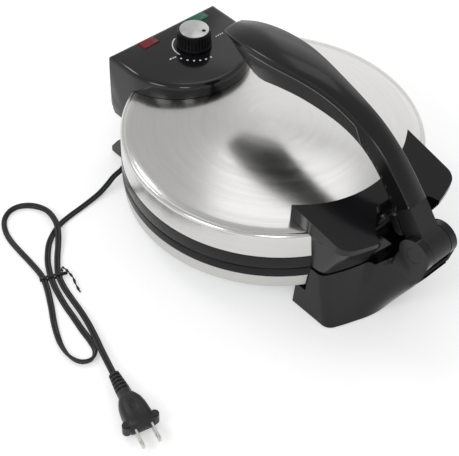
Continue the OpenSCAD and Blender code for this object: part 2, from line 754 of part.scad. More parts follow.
// Side view of what the box keeps: the walls end above the seam, the hinge arms reach lower
module box_keep() {
    along_x(200) polygon([[0, 130], [0, seam_z1 + 0.4], [hinge_y - 9.5, seam_z1 + 0.4],
        [hinge_y - 8.5, hinge_z - 7.2], [hinge_y + 8, hinge_z - 7.2],
        [hinge_y + 14, hinge_z - 0.8], [hinge_y + 30, hinge_z - 1.6], [hinge_y + 30, 130]]);
}

housing_post_x = 50;
housing_post_y = hinge_y + 8;
lid_screw_r = 1.6;
housing_floor_z = hinge_z + 12.5;

module lid_screw_places() {
    for (x = [-34, 34]) translate([x, box_round_y - 30, dome_z(norm([34, box_round_y - 30])) - sheet_t])
        children();
}

module lens_places() {
    translate([panel_x - lens_pitch / 2, lens_y, 0]) children();
    translate([panel_x + lens_pitch / 2, lens_y, 0]) children();
}

module hinge_bores(r) {
    both_sides() translate([arm_in_x - 1, hinge_y, hinge_z]) rotate([0, 90, 0]) cylinder(4.6, r = r);
}

module control_housing() {
    color("#1b1b1d") difference() {
        union() {
            intersection() {
                box_keep();
                difference() {
                    box_solid(0, 30);
                    box_solid(wall_t, 20);
                }
            }
            // Hinge arms: the side walls thickened inward round the pins
            intersection() {
                box_keep();
                box_solid(0, 30);
                both_sides() translate([arm_in_x, hinge_y - 9.5, 20]) cube([20, 19, hinge_z - 11]);
            }
            // Screw posts under the panel
            for (s = [-1, 1]) translate([s * housing_post_x, housing_post_y, housing_floor_z + 2.2])
                cylinder(box_top_z - wall_t - housing_floor_z - 1, r = 4);
            intersection() {
                box_solid(1, 30);
                lid_screw_places() cylinder(40, r = 4.2);
            }
        }
        lid_envelope(seat_gap);
        // Rear wall ends above the base's hinge towers
        translate([-arm_in_x, hinge_y, 20]) cube([2 * arm_in_x, 60, housing_floor_z - 24]);
        hinge_bores(hinge_pin_r + fix_gap);
        lens_places() translate([0, 0, box_top_z])
            cube([lens_l + 0.6, lens_w + 0.6, 20], center = true);
        translate([panel_x, knob_y, 60]) cylinder(60, r = 4.8);
        for (s = [-1, 1]) translate([s * housing_post_x, housing_post_y, housing_floor_z])
            cylinder(14, r = lid_screw_r + run_gap);
        lid_screw_places() cylinder(9, r = lid_screw_r + run_gap);
    }
}

module housing_floor() {
    color("#1b1b1d") difference() {
        intersection() {
            box_solid(wall_t + seat_gap, 30);
            translate([-100, hinge_y - 30, housing_floor_z]) cube([200, 80, 2]);
        }
        lid_envelope(seat_gap + 0.2);
        for (s = [-1, 1]) translate([s * housing_post_x, housing_post_y, housing_floor_z - 1])
            cylinder(14, r = lid_screw_r + 0.3);
    }
}

module housing_screws() {
    color("dimgray") for (s = [-1, 1])
        translate([s * housing_post_x, housing_post_y, housing_floor_z - 0.1])
            screw(12, lid_screw_r, 3.2, 1.8);
}

module lid_screws() {
    color("dimgray") lid_screw_places() translate([0, 0, -0.3]) screw(7.5, lid_screw_r, 3.2, 1.8);
}

module hinge_pins() {
    color("silver") both_sides() translate([tower_in_x + 0.3, hinge_y, hinge_z])
        rotate([0, 90, 0]) cylinder(arm_in_x + 3.4 - tower_in_x - 0.3, r = hinge_pin_r);
}

// ---- Lamps, thermostat and knob -----------------------------------------------------------------

module lens() {
    translate([0, 0, box_top_z - wall_t - 1.7]) linear_extrude(1.1) square([lens_l + 3, lens_w],
        center = true);
    translate([0, 0, box_top_z - wall_t - 1]) linear_extrude(wall_t + 1.5) square([lens_l, lens_w],
        center = true);
    translate([0, 0, box_top_z + 0.5]) hull() {
        linear_extrude(0.1) square([lens_l, lens_w], center = true);
        translate([0, 0, 0.6]) linear_extrude(0.1) square([lens_l - 1.4, lens_w - 1.4], center = true);
    }
}

module red_lens() {
    color("crimson") translate([panel_x - lens_pitch / 2, lens_y, 0]) lens();
}

module green_lens() {
    color("seagreen") translate([panel_x + lens_pitch / 2, lens_y, 0]) lens();
}

module indicator_lamps() {
    color("orange") lens_places() translate([0, 0, box_top_z - wall_t - 5.2]) rotate([0, 90, 0]) {
        cylinder(9, r = 2.6, center = true, $fn = 32);
        translate([0, 0, 4.5]) sphere(2.6, $fn = 32);
        translate([0, 0, -5.5]) cylinder(3, r = 3.4, center = true, $fn = 32);
    }
}

module thermostat() {
    low_z = dome_z(norm([panel_x, knob_y])) + 1.2;
    body_h = box_top_z - wall_t - seat_gap - low_z;
    color("peru") translate([panel_x, knob_y, low_z]) difference() {
        union() {
            cylinder(body_h - 2, r = 11.5);
            cylinder(body_h, r = 8);
            cylinder(body_h + wall_t, r = 4.5);
            for (a = [35, 145]) rotate([0, 0, a]) translate([10, -2.5, 1]) cube([7, 5, 1.2]);
        }
        translate([0, 0, 1.5]) cylinder(40, r = 3 + run_gap);
    }
}

module thermostat_shaft() {
    low_z = dome_z(norm([panel_x, knob_y])) + 3;
    color("silver") translate([panel_x, knob_y, low_z]) difference() {
        cylinder(box_top_z + 11 - low_z, r = 3);
        translate([-5, 1.8, box_top_z + 2 - low_z]) cube([10, 5, 20]);
    }
}

module terminal_block() {
    color("ivory") translate([4, housing_post_y - 4.5, housing_floor_z + 2.3]) difference() {
        cube([26, 9, 11]);
        for (i = [0:2]) translate([4.5 + 8.5 * i, 4.5, 3]) cylinder(20, r = 2, $fn = 32);
        for (i = [0:1]) translate([8 + 8.5 * i, -1, 5]) cube([1.5, 20, 20]);
    }
}

knob_z = box_top_z + 0.6;

module knob_body() {
    color("#151517") translate([panel_x, knob_y, knob_z]) difference() {
        union() {
            rotate_extrude() polygon([[0, 2], [10, 2], [10, 0], [knob_r, 0], [knob_r, 2.2],
                [knob_r - 0.5, 2.6], [knob_r - 1.1, knob_h - 0.8], [knob_r - 1.7, knob_h],
                [0, knob_h]]);
        }
        // Grip flutes
        around(30) translate([knob_r - 0.4, 0, 3]) cylinder(knob_h, r = 0.75, $fn = 16);
        difference() {
            translate([0, 0, -1]) cylinder(12, r = 3 + fix_gap);
            translate([-5, 1.8 + fix_gap, 1.4]) cube([10, 5, 20]);
        }
        translate([0, 0, knob_h - 0.6]) cylinder(5, r = knob_r - 2.6 + fix_gap);
    }
}

module knob_cap() {
    color("gainsboro") translate([panel_x, knob_y, knob_z + knob_h - 0.58]) difference() {
        rotate_extrude() polygon([[0, 0], [knob_r - 2.6, 0], [knob_r - 2.6, 0.5],
            [knob_r - 3, 0.9], [0, 0.9]]);
        rotate([0, 0, -60]) translate([knob_r * 0.56, 0, 0.4]) cylinder(2, r = 1.5, $fn = 32);
    }
}

// ---- Cord, tie and plug ------------------------------------------------------------------------

relief_y = rear_front_y + 15;
relief_z = 9.2;
relief_end_x = -(rear_half_w + 14);

// Route of the cord's middle: out of the base, round the hank's lower loop and then its
// upper loop, each held at the tie, and on to the plug
cord_points = [
    [-80, 103, 9.2], [-90, 101.5, 8.2], [-100, 99, 5.6], [-111, 97, 3], [-128, 95, 1.7],
    [-144, 93, 1.6], [-156, 90.5, 1.6], [-166, 86, 1.6], [-176, 79, 1.6], [-184, 70, 1.6],
    [-190, 61.5, 1.8], [-194, 54, 2.2], [-197.5, 46.5, 2.5], [-201.5, 35, 2.2], [-205.5, 18, 1.7],
    [-208, 2, 1.6], [-210.5, -13, 1.6], [-212, -25, 1.6], [-215, -35, 1.6], [-222, -40, 1.6],
    [-229.5, -37, 1.6], [-233, -28, 1.6], [-232, -16, 1.6], [-228, -4, 1.6], [-222, 9, 1.6],
    [-215.5, 21, 1.7], [-209.5, 33, 2.1], [-205.5, 42, 2.4], [-203.2, 48.8, 2.5],
    [-201.5, 58, 2.2], [-200.5, 72, 1.7], [-200, 87, 1.6], [-199, 102, 1.6], [-196, 114, 1.6],
    [-190, 124, 1.6], [-181, 129.5, 1.6], [-172, 129, 1.8], [-164.5, 124, 2.4],
    [-159.5, 116, 3.6], [-157.5, 107, 5], [-158.5, 97, 5.8], [-161.5, 87.5, 5.8],
    [-166.5, 79, 4.8], [-173, 70.5, 3.4], [-180, 62, 2.4], [-186.5, 53, 2.3], [-191.7, 44.2, 2.5],
    [-195.5, 32, 2.2], [-198, 18.5, 2.2], [-200.5, 4, 3.4], [-204, -11, 5.2],
    [-208.5, -27, 6], [-213, -41, 6.6], [-217, -54, 7.6], [-220.6, -66, 8.6]];
cord_steps = 2;
cord_line = smooth_line(cord_points, cord_steps);
cord_last = len(cord_line) - 1;

function unit(v) = v / norm(v);
function cord_heading(i) = i == 0 ? [-1, 0, 0] : i == cord_last ? plug_heading
    : unit(cord_line[i + 1] - cord_line[i - 1]);
// One ring of the flat cord, eight points of an oval, wide way level
function cord_ring(i) = let (t = cord_heading(i), side = unit(cross(t, [0, 0, 1])),
    up = cross(side, t)) [for (k = [0:7]) let (a = 22.5 + 45 * k)
    cord_line[i] + side * (cord_w / 2 / cos(22.5) * cos(a)) + up * (cord_t / 2 / cos(22.5) * sin(a))];

// Keeps the cord's start on the relief when the stand's size changes
module on_route() {
    translate([relief_end_x - cord_points[0][0], relief_y - cord_points[0][1], 0]) children();
}

module power_cord() {
    color("#1a1a1a") on_route() loft([for (i = [0:cord_last]) cord_ring(i)]);
}

// Least clear space between stretches of the cord more than 40 mm of route apart, for flat
// cords lying level: the larger of the sideways and the upright gap, at five points a step
gap_line = smooth_line(cord_points, 5);
gap_pairs = [for (i = [0:len(gap_line) - 1]) for (j = [i + 22:1:len(gap_line) - 1])
    let (d = gap_line[i] - gap_line[j])
    [max(norm([d[0], d[1]]) - cord_w, abs(d[2]) - cord_t), i / 5, j / 5]];
cord_gap = min([for (p = gap_pairs) p[0]]);
cord_length = let (steps = [for (i = [1:len(gap_line) - 1]) norm(gap_line[i] - gap_line[i - 1])])
    steps * [for (s = steps) 1];
echo(cord_self_gap_mm = cord_gap, cord_length_mm = cord_length);

// Tapered relief with grooves, its small end on the cord's start
module cord_relief() {
    big = 4;
    color("#1a1a1a") translate([relief_end_x, relief_y, relief_z]) rotate([0, 90, 0]) {
        rotate_extrude() polygon(concat([[0, 0]],
            [for (i = [0:3]) for (p = [[3.1 + 0.2 * i, 3 * i], [3.1 + 0.2 * i, 3 * i + 1.8],
                [2.7 + 0.2 * i, 3 * i + 2.2], [2.7 + 0.2 * i, 3 * i + 2.8]]) p],
            [[big + 1.3, 12.2], [big + 1.3, 13.6], [big, 13.7], [big, 17],
            [big + 1, 17.1], [big + 1, 20], [0, 20]]));
    }
}

// The wire tie: a band round the three strands, a knot at its end and a twisted tail
tie_mid = [-197.5, 46.5, 2.5];
tie_turn = -22;
tie_half = 9.7;

module cord_tie() {
    color("#151515") on_route() {
        translate(tie_mid) rotate([0, 0, tie_turn]) {
            rotate([90, 0, 0]) linear_extrude(2.4, center = true) difference() {
                square([2 * tie_half, 4.8], center = true);
                square([2 * tie_half - 1, 3.8], center = true);
            }
            translate([tie_half + 1.4, 0, 0.6]) sphere(1.9, $fn = 12);
        }
        loft([for (i = [0:len(tail_line) - 1]) tail_ring(i)]);
    }
}

tail_points = [[-187.4, 42.3, 3.2], [-184, 42.6, 4.6], [-179, 42, 5.2], [-174.5, 38.5, 4.4],
    [-171, 34, 3.2], [-168.5, 29, 2.2], [-167.5, 23.5, 1.4]];
tail_line = smooth_line(tail_points, 3);
function tail_ring(i) = let (n = len(tail_line) - 1, t = unit(tail_line[min(i + 1, n)]
    - tail_line[max(i - 1, 0)]), side = unit(cross(t, [0, 0, 1])), up = cross(side, t))
    [for (k = [0:5]) let (u = 1.2 * cos(60 * k), v = 0.7 * sin(60 * k), a = 30 * i)
    tail_line[i] + side * (u * cos(a) - v * sin(a)) + up * (u * sin(a) + v * cos(a))];

plug_z = 8.8;
plug_turn = -104;
plug_heading = [cos(plug_turn), sin(plug_turn), 0];
plug_start = cord_points[len(cord_points) - 1];

// Frame of the plug: +X along the blades, the cord's end at x = 0
module plug_frame() {
    on_route() translate([plug_start[0], plug_start[1], plug_z]) rotate([0, 0, plug_turn])
        children();
}

// Stations along the grip: place, half width and half height
plug_stations = [[20.6, 5, 5], [23, 6.6, 6.3], [25.5, 8, 7], [28.5, 9.3, 7.6], [34, 10.4, 8],
    [40, 10.8, 8.2], [46, 11, 8.2], [48.5, 10.9, 7.4], [50.5, 10.5, 5.6], [52.4, 9.8, 2.6]];
function power(v, n) = (v < 0 ? -1 : 1) * pow(abs(v), n);
function plug_ring(g) = [for (k = [0:19]) let (a = -9 - 18 * k)
    [g[0], g[1] * power(cos(a), 0.62), g[2] * power(sin(a), 0.62)]];

module plug_body() {
    color("#1a1a1a") plug_frame() difference() {
        union() {
            // Ribbed relief
            rotate([0, 90, 0]) rotate_extrude() polygon(concat([[0, 0]],
                [for (i = [0:4]) for (p = [[4.3 + 0.3 * i, 3.4 * i], [4.3 + 0.3 * i, 3.4 * i + 2],
                    [3.3 + 0.3 * i, 3.4 * i + 2.4], [3.3 + 0.3 * i, 3.4 * i + 3.3]]) p],
                [[5.6, 17], [5.6, 22], [0, 22]]));
            // Grip that widens to the face, with a chisel-shaped front
            loft([for (g = plug_stations) plug_ring(g)]);
            // Finger stops
            for (s = [-1, 1]) translate([46.8, s * 11, 0]) {
                cylinder(9, r = 3.4, center = true, $fn = 24);
                cylinder(10.4, r = 2.6, center = true, $fn = 24);
            }
        }
        // Oval thumb rests above and below
        for (s = [-1, 1]) translate([35, 0, s * 13.7]) scale([1.5, 1, 1]) sphere(6.6, $fn = 16);
        for (s = [-1, 1]) translate([40, s * 6.35 - 0.85, -3.4]) cube([20, 1.7, 6.8]);
    }
}

module plug_blades() {
    color("silver") plug_frame() for (s = [-1, 1]) translate([0, s * 6.35, 0]) rotate([90, 0, 0])
        linear_extrude(1.5, center = true) difference() {
            union() {
                translate([41, -3.15]) square([22.5, 6.3]);
                translate([63.5, 0]) circle(3.15);
            }
            translate([61.6, 0]) circle(1.6);
        }
}

// ---- The nodes -----------------------------------------------------------------------------

placed() base_shell();
placed() bottom_cover();
placed() cover_screws();
placed() lower_ring();
placed() lower_plate();
placed() lower_element();
placed() lower_heat_shield();
placed() lower_plate_screws();
placed() front_stand();
placed() front_stand_floor();
placed() rear_stand();
placed() rear_stand_floor();
placed() stand_screws();
placed() rubber_feet();
placed() lever_pin();
placed() pivot_caps();
placed() lid_shell();
placed() upper_ring();
placed() upper_plate();
placed() upper_element();
placed() upper_heat_shield();
placed() upper_plate_screws();
placed() control_housing();
placed() housing_floor();
placed() housing_screws();
placed() lid_screws();
placed() hinge_pins();
placed() red_lens();
placed() green_lens();
placed() indicator_lamps();
placed() thermostat();
placed() terminal_block();
placed() front_bracket();
placed() bracket_screws();
placed() knob_body();
placed() knob_cap();
placed() thermostat_shaft();
placed() lever_body();
placed() lever_cover();
placed() lever_bush();
placed() press_pad();
placed() lever_screws();
placed() cord_relief();
placed() power_cord();
placed() cord_tie();
placed() plug_body();
placed() plug_blades();
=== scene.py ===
import math

import bmesh
import bpy
from mathutils import Matrix, Vector


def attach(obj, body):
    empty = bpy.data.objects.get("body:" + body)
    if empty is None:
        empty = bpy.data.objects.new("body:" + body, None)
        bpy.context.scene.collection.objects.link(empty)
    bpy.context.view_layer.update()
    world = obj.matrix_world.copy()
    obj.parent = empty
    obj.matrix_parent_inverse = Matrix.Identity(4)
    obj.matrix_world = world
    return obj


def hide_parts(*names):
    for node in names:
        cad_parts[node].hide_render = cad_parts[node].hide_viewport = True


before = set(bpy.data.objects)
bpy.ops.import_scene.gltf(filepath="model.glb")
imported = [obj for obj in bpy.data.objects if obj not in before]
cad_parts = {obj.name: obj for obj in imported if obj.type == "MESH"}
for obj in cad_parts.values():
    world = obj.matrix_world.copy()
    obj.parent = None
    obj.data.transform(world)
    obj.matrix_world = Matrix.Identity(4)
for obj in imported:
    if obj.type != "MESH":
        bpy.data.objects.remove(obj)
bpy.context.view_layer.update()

# ---- Camera -------------------------------------------------------------------------------------
# A portrait lens 0.88 m from the maker, above its front left corner, as in the photograph.
# The small roll is the photograph's own.
azimuth, elevation, roll = (math.radians(a) for a in (-44.11377, 46.71425, 2.6085))
aim = Vector((-0.06172, 0.00161, 0.01875))
distance = 0.8774
back = Vector((math.sin(azimuth) * math.cos(elevation), -math.cos(azimuth) * math.cos(elevation),
               math.sin(elevation)))
level = Vector((math.cos(azimuth), math.sin(azimuth), 0))
upright = back.cross(level)
camera_axes = Matrix((level * math.cos(roll) + upright * math.sin(roll),
                      upright * math.cos(roll) - level * math.sin(roll), back)).transposed()
camera = bpy.data.objects.new("photo_camera", bpy.data.cameras.new("photo_camera"))
camera.data.sensor_width = 36
camera.data.lens = 83.09
camera.data.clip_start = 0.05
camera.matrix_world = Matrix.Translation(aim + back * distance) @ camera_axes.to_4x4()
bpy.context.scene.collection.objects.link(camera)
bpy.context.scene.camera = camera
bpy.context.scene.view_settings.view_transform = "Standard"


# ---- Table top and studio light -----------------------------------------------------------------
# A pale matt table that shows white to the camera and to shiny metal, and keeps the shadow.
# The light is a bright room whose ceiling mirrors greyer, and five softboxes round the maker.
def new_material(name):
    """An empty node material, its nodes and a function that links two sockets."""
    made = bpy.data.materials.new(name)
    made.use_nodes = True
    nodes = made.node_tree.nodes
    nodes.clear()
    return made, nodes, made.node_tree.links.new


def larger(nodes, link, one, other):
    """The larger of two values."""
    pick = nodes.new("ShaderNodeMath")
    pick.operation = "MAXIMUM"
    link(one, pick.inputs[0])
    link(other, pick.inputs[1])
    return pick.outputs[0]


def seen_by_eye_or_gloss(nodes, link):
    """1 for camera, glossy and transmission rays, 0 for the rays that light things."""
    rays = nodes.new("ShaderNodeLightPath").outputs
    eye_or_gloss = larger(nodes, link, rays["Is Camera Ray"], rays["Is Glossy Ray"])
    return larger(nodes, link, eye_or_gloss, rays["Is Transmission Ray"])


table_grey, table_glow, table_reach = 0.8, 0.36, 3
table_finish, nodes, link = new_material("pale_table")
matt = nodes.new("ShaderNodeBsdfDiffuse")
matt.inputs["Color"].default_value = (table_grey, table_grey, table_grey, 1)
glow = nodes.new("ShaderNodeEmission")
link(seen_by_eye_or_gloss(nodes, link), glow.inputs["Strength"])
glow.inputs["Color"].default_value = (table_glow, table_glow, table_glow, 1)
both = nodes.new("ShaderNodeAddShader")
link(matt.outputs[0], both.inputs[0])
link(glow.outputs[0], both.inputs[1])
out = nodes.new("ShaderNodeOutputMaterial")
link(both.outputs[0], out.inputs["Surface"])

bm = bmesh.new()
bmesh.ops.create_grid(bm, x_segments=1, y_segments=1, size=table_reach)
table_mesh = bpy.data.meshes.new("table_top")
bm.to_mesh(table_mesh)
bm.free()
table_mesh.materials.append(table_finish)
table = bpy.data.objects.new("table_top", table_mesh)
bpy.context.scene.collection.objects.link(table)

room_light, ceiling_seen = 0.62, 0.6
room = bpy.data.worlds.new("bright_room")
room.use_nodes = True
bpy.context.scene.world = room
nodes, link = room.node_tree.nodes, room.node_tree.links.new
nodes.clear()
lit = nodes.new("ShaderNodeBackground")
lit.inputs["Color"].default_value = (1, 1, 1, 1)
lit.inputs["Strength"].default_value = room_light
seen = nodes.new("ShaderNodeBackground")
seen.inputs["Color"].default_value = (1, 1, 1, 1)
ray = nodes.new("ShaderNodeTexCoord")
ray_parts = nodes.new("ShaderNodeSeparateXYZ")
link(ray.outputs["Generated"], ray_parts.inputs[0])
ceiling = nodes.new("ShaderNodeMapRange")
ceiling.interpolation_type = "SMOOTHSTEP"
ceiling.inputs["From Min"].default_value = 0.12
ceiling.inputs["From Max"].default_value = 0.62
ceiling.inputs["To Min"].default_value = 1
ceiling.inputs["To Max"].default_value = ceiling_seen
link(ray_parts.outputs[2], ceiling.inputs["Value"])
eye = nodes.new("ShaderNodeLightPath")
link(larger(nodes, link, ceiling.outputs["Result"], eye.outputs["Is Camera Ray"]),
     seen.inputs["Strength"])
pick = nodes.new("ShaderNodeMixShader")
link(seen_by_eye_or_gloss(nodes, link), pick.inputs[0])
link(lit.outputs[0], pick.inputs[1])
link(seen.outputs[0], pick.inputs[2])
out = nodes.new("ShaderNodeOutputWorld")
link(pick.outputs[0], out.inputs["Surface"])


def softbox(name, place, target, width, height, watts):
    """A rectangular studio lamp that faces a point."""
    lamp = bpy.data.objects.new(name, bpy.data.lights.new(name, "AREA"))
    lamp.data.shape = "RECTANGLE"
    lamp.data.size, lamp.data.size_y, lamp.data.energy = width, height, watts
    facing = (Vector(target) - Vector(place)).to_track_quat("-Z", "Y")
    lamp.matrix_world = Matrix.Translation(place) @ facing.to_matrix().to_4x4()
    bpy.context.scene.collection.objects.link(lamp)


body_middle, dome_middle = (0, 0, 0.05), (0, 0, 0.09)
softbox("front_softbox", (-0.75, -0.85, 1.25), body_middle, 0.35, 0.35, 2.6)
softbox("left_softbox", (-1.2, 0, 1), body_middle, 0.5, 0.5, 3.6)
softbox("rear_softbox", (-0.35, 1.1, 1.3), body_middle, 0.5, 0.3, 3)
softbox("top_softbox", (0.53, 0.45, 1.15), dome_middle, 0.5, 0.45, 0.68)
softbox("right_softbox", (1.0, 0.5, 0.72), dome_middle, 0.9, 0.6, 0.85)

# ---- Power cord ---------------------------------------------------------------------------------
# Flat two-core PVC flex, 5.2 by 2.7 mm, grooved between its cores. It leaves the rear stand,
# makes two loops that a tie holds, and runs on to the plug. At the tips of the loops it stands
# on its edge.
plates_y = 19.4


def in_frame(points):
    """Points about the plates' axis in millimetres, in the frame's metres."""
    return [Vector((x, y + plates_y, z)) / 1000 for x, y, z in points]


def smooth_route(points, steps):
    """A smooth line through points, with so many steps between each two."""
    line = []
    for i in range(len(points) - 1):
        a, b = points[max(i - 1, 0)], points[i]
        c, d = points[i + 1], points[min(i + 2, len(points) - 1)]
        for k in range(steps):
            t = k / steps
            line.append(0.5 * (2 * b + (c - a) * t + (2 * a - 5 * b + 4 * c - d) * t * t
                               + (3 * b - a - 3 * c + d) * t ** 3))
    return line + [points[-1]]


def evaluated(source):
    """The mesh of an object whose curve or modifiers are worked out."""
    bpy.context.view_layer.update()
    graph = bpy.context.evaluated_depsgraph_get()
    return bpy.data.meshes.new_from_object(source.evaluated_get(graph))


def swept(name, line, profile, tilts=None):
    """A mesh of a flat profile swept along a line, turned about it by the tilts."""
    section = bpy.data.curves.new(name + "_profile", "CURVE")
    edge = section.splines.new("POLY")
    edge.points.add(len(profile) - 1)
    for point, (x, y) in zip(edge.points, profile):
        point.co = (x, y, 0, 1)
    edge.use_cyclic_u = True
    section_object = bpy.data.objects.new(name + "_profile", section)
    path = bpy.data.curves.new(name, "CURVE")
    path.dimensions = "3D"
    path.twist_mode = "Z_UP"
    path.bevel_mode = "OBJECT"
    path.bevel_object = section_object
    path.use_fill_caps = True
    run = path.splines.new("POLY")
    run.points.add(len(line) - 1)
    for i, (point, place) in enumerate(zip(run.points, line)):
        point.co = (*place, 1)
        point.tilt = tilts[i] if tilts else 0
    path_object = bpy.data.objects.new(name + "_path", path)
    bpy.context.scene.collection.objects.link(path_object)
    mesh = evaluated(path_object)
    bpy.data.objects.remove(path_object)
    bpy.data.objects.remove(section_object)
    bm = bmesh.new()
    bm.from_mesh(mesh)
    bmesh.ops.remove_doubles(bm, verts=bm.verts, dist=1e-6)
    bmesh.ops.recalc_face_normals(bm, faces=bm.faces)
    bm.to_mesh(mesh)
    bm.free()
    mesh.shade_smooth()
    return mesh


def new_finish(name, metallic=0):
    """A new material, its shader, and the coordinates of the piece that wears it."""
    made, nodes, link = new_material(name)
    shader = nodes.new("ShaderNodeBsdfPrincipled")
    shader.inputs["Metallic"].default_value = metallic
    out = nodes.new("ShaderNodeOutputMaterial")
    link(shader.outputs[0], out.inputs["Surface"])
    return made, shader, nodes.new("ShaderNodeTexCoord").outputs["Object"]


def pattern(kind, place, scale, **settings):
    """The outputs of a texture that is read at a place."""
    tree = place.id_data
    texture = tree.nodes.new("ShaderNodeTex" + kind)
    texture.inputs["Scale"].default_value = scale
    for socket, value in settings.items():
        texture.inputs[socket].default_value = value
    tree.links.new(place, texture.inputs["Vector"])
    return texture.outputs


def vary_roughness(shader, value, low, high):
    """Lets the roughness follow a pattern between two values."""
    tree = shader.id_data
    gloss = tree.nodes.new("ShaderNodeMapRange")
    gloss.inputs["To Min"].default_value = low
    gloss.inputs["To Max"].default_value = high
    tree.links.new(value, gloss.inputs["Value"])
    tree.links.new(gloss.outputs["Result"], shader.inputs["Roughness"])


def raise_grain(shader, height, strength, depth):
    """Lets the surface rise and fall with a pattern, by a depth in metres."""
    tree = shader.id_data
    bump = tree.nodes.new("ShaderNodeBump")
    bump.inputs["Strength"].default_value = strength
    bump.inputs["Distance"].default_value = depth
    tree.links.new(height, bump.inputs["Height"])
    tree.links.new(bump.outputs["Normal"], shader.inputs["Normal"])


def moulded(name, colour, roughness, grain=900, depth=0.06, spread=0.06, specular=0.35):
    """Moulded plastic: a fine grain in the bump and cloudy changes in its gloss."""
    made, shader, place = new_finish(name)
    shader.inputs["Base Color"].default_value = (*colour, 1)
    shader.inputs["Specular IOR Level"].default_value = specular
    clouds = pattern("Noise", place, 45, Detail=4)["Fac"]
    vary_roughness(shader, clouds, roughness - spread, roughness + spread)
    raise_grain(shader, pattern("Noise", place, grain, Detail=2)["Fac"], depth, 0.0004)
    return made


def shown(name, mesh, body, material, slot, *nodes):
    """Places a made mesh on its body, in its finish, in the place of CAD nodes."""
    made = bpy.data.objects.new(name, mesh)
    bpy.context.scene.collection.objects.link(made)
    mesh.materials.append(material)
    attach(made, body)
    if nodes:
        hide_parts(*nodes)
    return made


cord_points = in_frame([
    (-80, 103, 9.2), (-90, 101.5, 8.2), (-100, 99, 5.6), (-111, 97, 3), (-128, 95, 1.7),
    (-144, 93, 1.6), (-156, 90.5, 1.6), (-166, 86, 1.6), (-176, 79, 1.6), (-184, 70, 1.6),
    (-190, 61.5, 1.8), (-194, 54, 2.2), (-197.5, 46.5, 2.5), (-201.5, 35, 2.2), (-205.5, 18, 1.7),
    (-208, 2, 1.6), (-210.5, -13, 1.6), (-212, -25, 1.6), (-215, -35, 1.6), (-222, -40, 1.6),
    (-229.5, -37, 1.6), (-233, -28, 1.6), (-232, -16, 1.6), (-228, -4, 1.6), (-222, 9, 1.6),
    (-215.5, 21, 1.7), (-209.5, 33, 2.1), (-205.5, 42, 2.4), (-203.2, 48.8, 2.5),
    (-201.5, 58, 2.2), (-200.5, 72, 1.7), (-200, 87, 1.6), (-199, 102, 1.6), (-196, 114, 1.6),
    (-190, 124, 1.6), (-181, 129.5, 1.6), (-172, 129, 1.8), (-164.5, 124, 2.4),
    (-159.5, 116, 3.6), (-157.5, 107, 5), (-158.5, 97, 5.8), (-161.5, 87.5, 5.8),
    (-166.5, 79, 4.8), (-173, 70.5, 3.4), (-180, 62, 2.4), (-186.5, 53, 2.3), (-191.7, 44.2, 2.5),
    (-195.5, 32, 2.2), (-198, 18.5, 2.2), (-200.5, 4, 3.4), (-204, -11, 5.2),
    (-208.5, -27, 6), (-213, -41, 6.6), (-217, -54, 7.6), (-220.6, -66, 8.6)])
cord_steps = 6
loop_tips = ((20, 2.6), (35.5, 2.4))
full_tilt, tilt_lift = math.radians(82), 0.0013
cord_tilts = []
for i in range((len(cord_points) - 1) * cord_steps + 1):
    at = i / cord_steps
    on_edge = sum(math.exp(-((at - tip) / reach) ** 2) for tip, reach in loop_tips)
    cord_tilts.append(full_tilt * min(on_edge, 1))
cord_line = [p + Vector((0, 0, tilt_lift * min(t / full_tilt, 1)))
             for p, t in zip(smooth_route(cord_points, cord_steps), cord_tilts)]
core_offset, core_radius = 0.00127, 0.00133
two_cores = []
for side in (1, -1):
    for k in range(9):
        angle = math.radians(-160 + 40 * k)
        two_cores.append((side * (core_offset + core_radius * math.cos(angle)),
                          side * core_radius * math.sin(angle)))
cord_black = moulded("cord_pvc", (0.013, 0.013, 0.014), 0.34, grain=600, depth=0.03)
power_cord = shown("flat_cord", swept("flat_cord", cord_line, two_cores, cord_tilts), "base",
                   cord_black, "cord_plastic", "power_cord")


# ---- Cord tie -----------------------------------------------------------------------------------
# A wire in a flat plastic strip. It is bent once round the three strands of the hank, twisted
# on itself at the side, and its free end curls up and away.
def meshed(name, bm, sharp=35):
    """A smooth mesh with its sharp edges kept, from a bmesh that is used up."""
    bmesh.ops.recalc_face_normals(bm, faces=bm.faces)
    mesh = bpy.data.meshes.new(name)
    bm.to_mesh(mesh)
    bm.free()
    mesh.shade_smooth()
    mesh.set_sharp_from_angle(angle=math.radians(sharp))
    return mesh


def oval(half_width, half_height, steps):
    """Points round an oval, for a profile."""
    return [(half_width * math.cos(math.radians(360 * k / steps)),
             half_height * math.sin(math.radians(360 * k / steps))) for k in range(steps)]


tie_black = moulded("tie_strip", (0.012, 0.012, 0.013), 0.42, grain=1500, depth=0.05)
hank_middle = in_frame([(-197.5, 46.5, 2.5)])[0]
across_hank = Matrix.Translation(hank_middle) @ Matrix.Rotation(math.radians(-22), 4, "Z")
band_half, band_rise, band_wide = 0.00935, 0.0021, 0.0024
bm = bmesh.new()
for vert in bmesh.ops.create_circle(bm, segments=40, radius=1)["verts"]:
    x, z = vert.co.x, vert.co.y
    vert.co = (math.copysign(abs(x) ** 0.35, x) * band_half, -band_wide / 2,
               math.copysign(abs(z) ** 0.7, z) * band_rise)
wall = bmesh.ops.extrude_edge_only(bm, edges=bm.edges)["geom"]
bmesh.ops.translate(bm, verts=[v for v in wall if isinstance(v, bmesh.types.BMVert)],
                    vec=(0, band_wide, 0))
bmesh.ops.recalc_face_normals(bm, faces=bm.faces)
bmesh.ops.solidify(bm, geom=bm.faces, thickness=0.0005)
bm.transform(across_hank)
tie_band = shown("tie_band", meshed("tie_band", bm), "base", tie_black, "cord_plastic", "cord_tie")

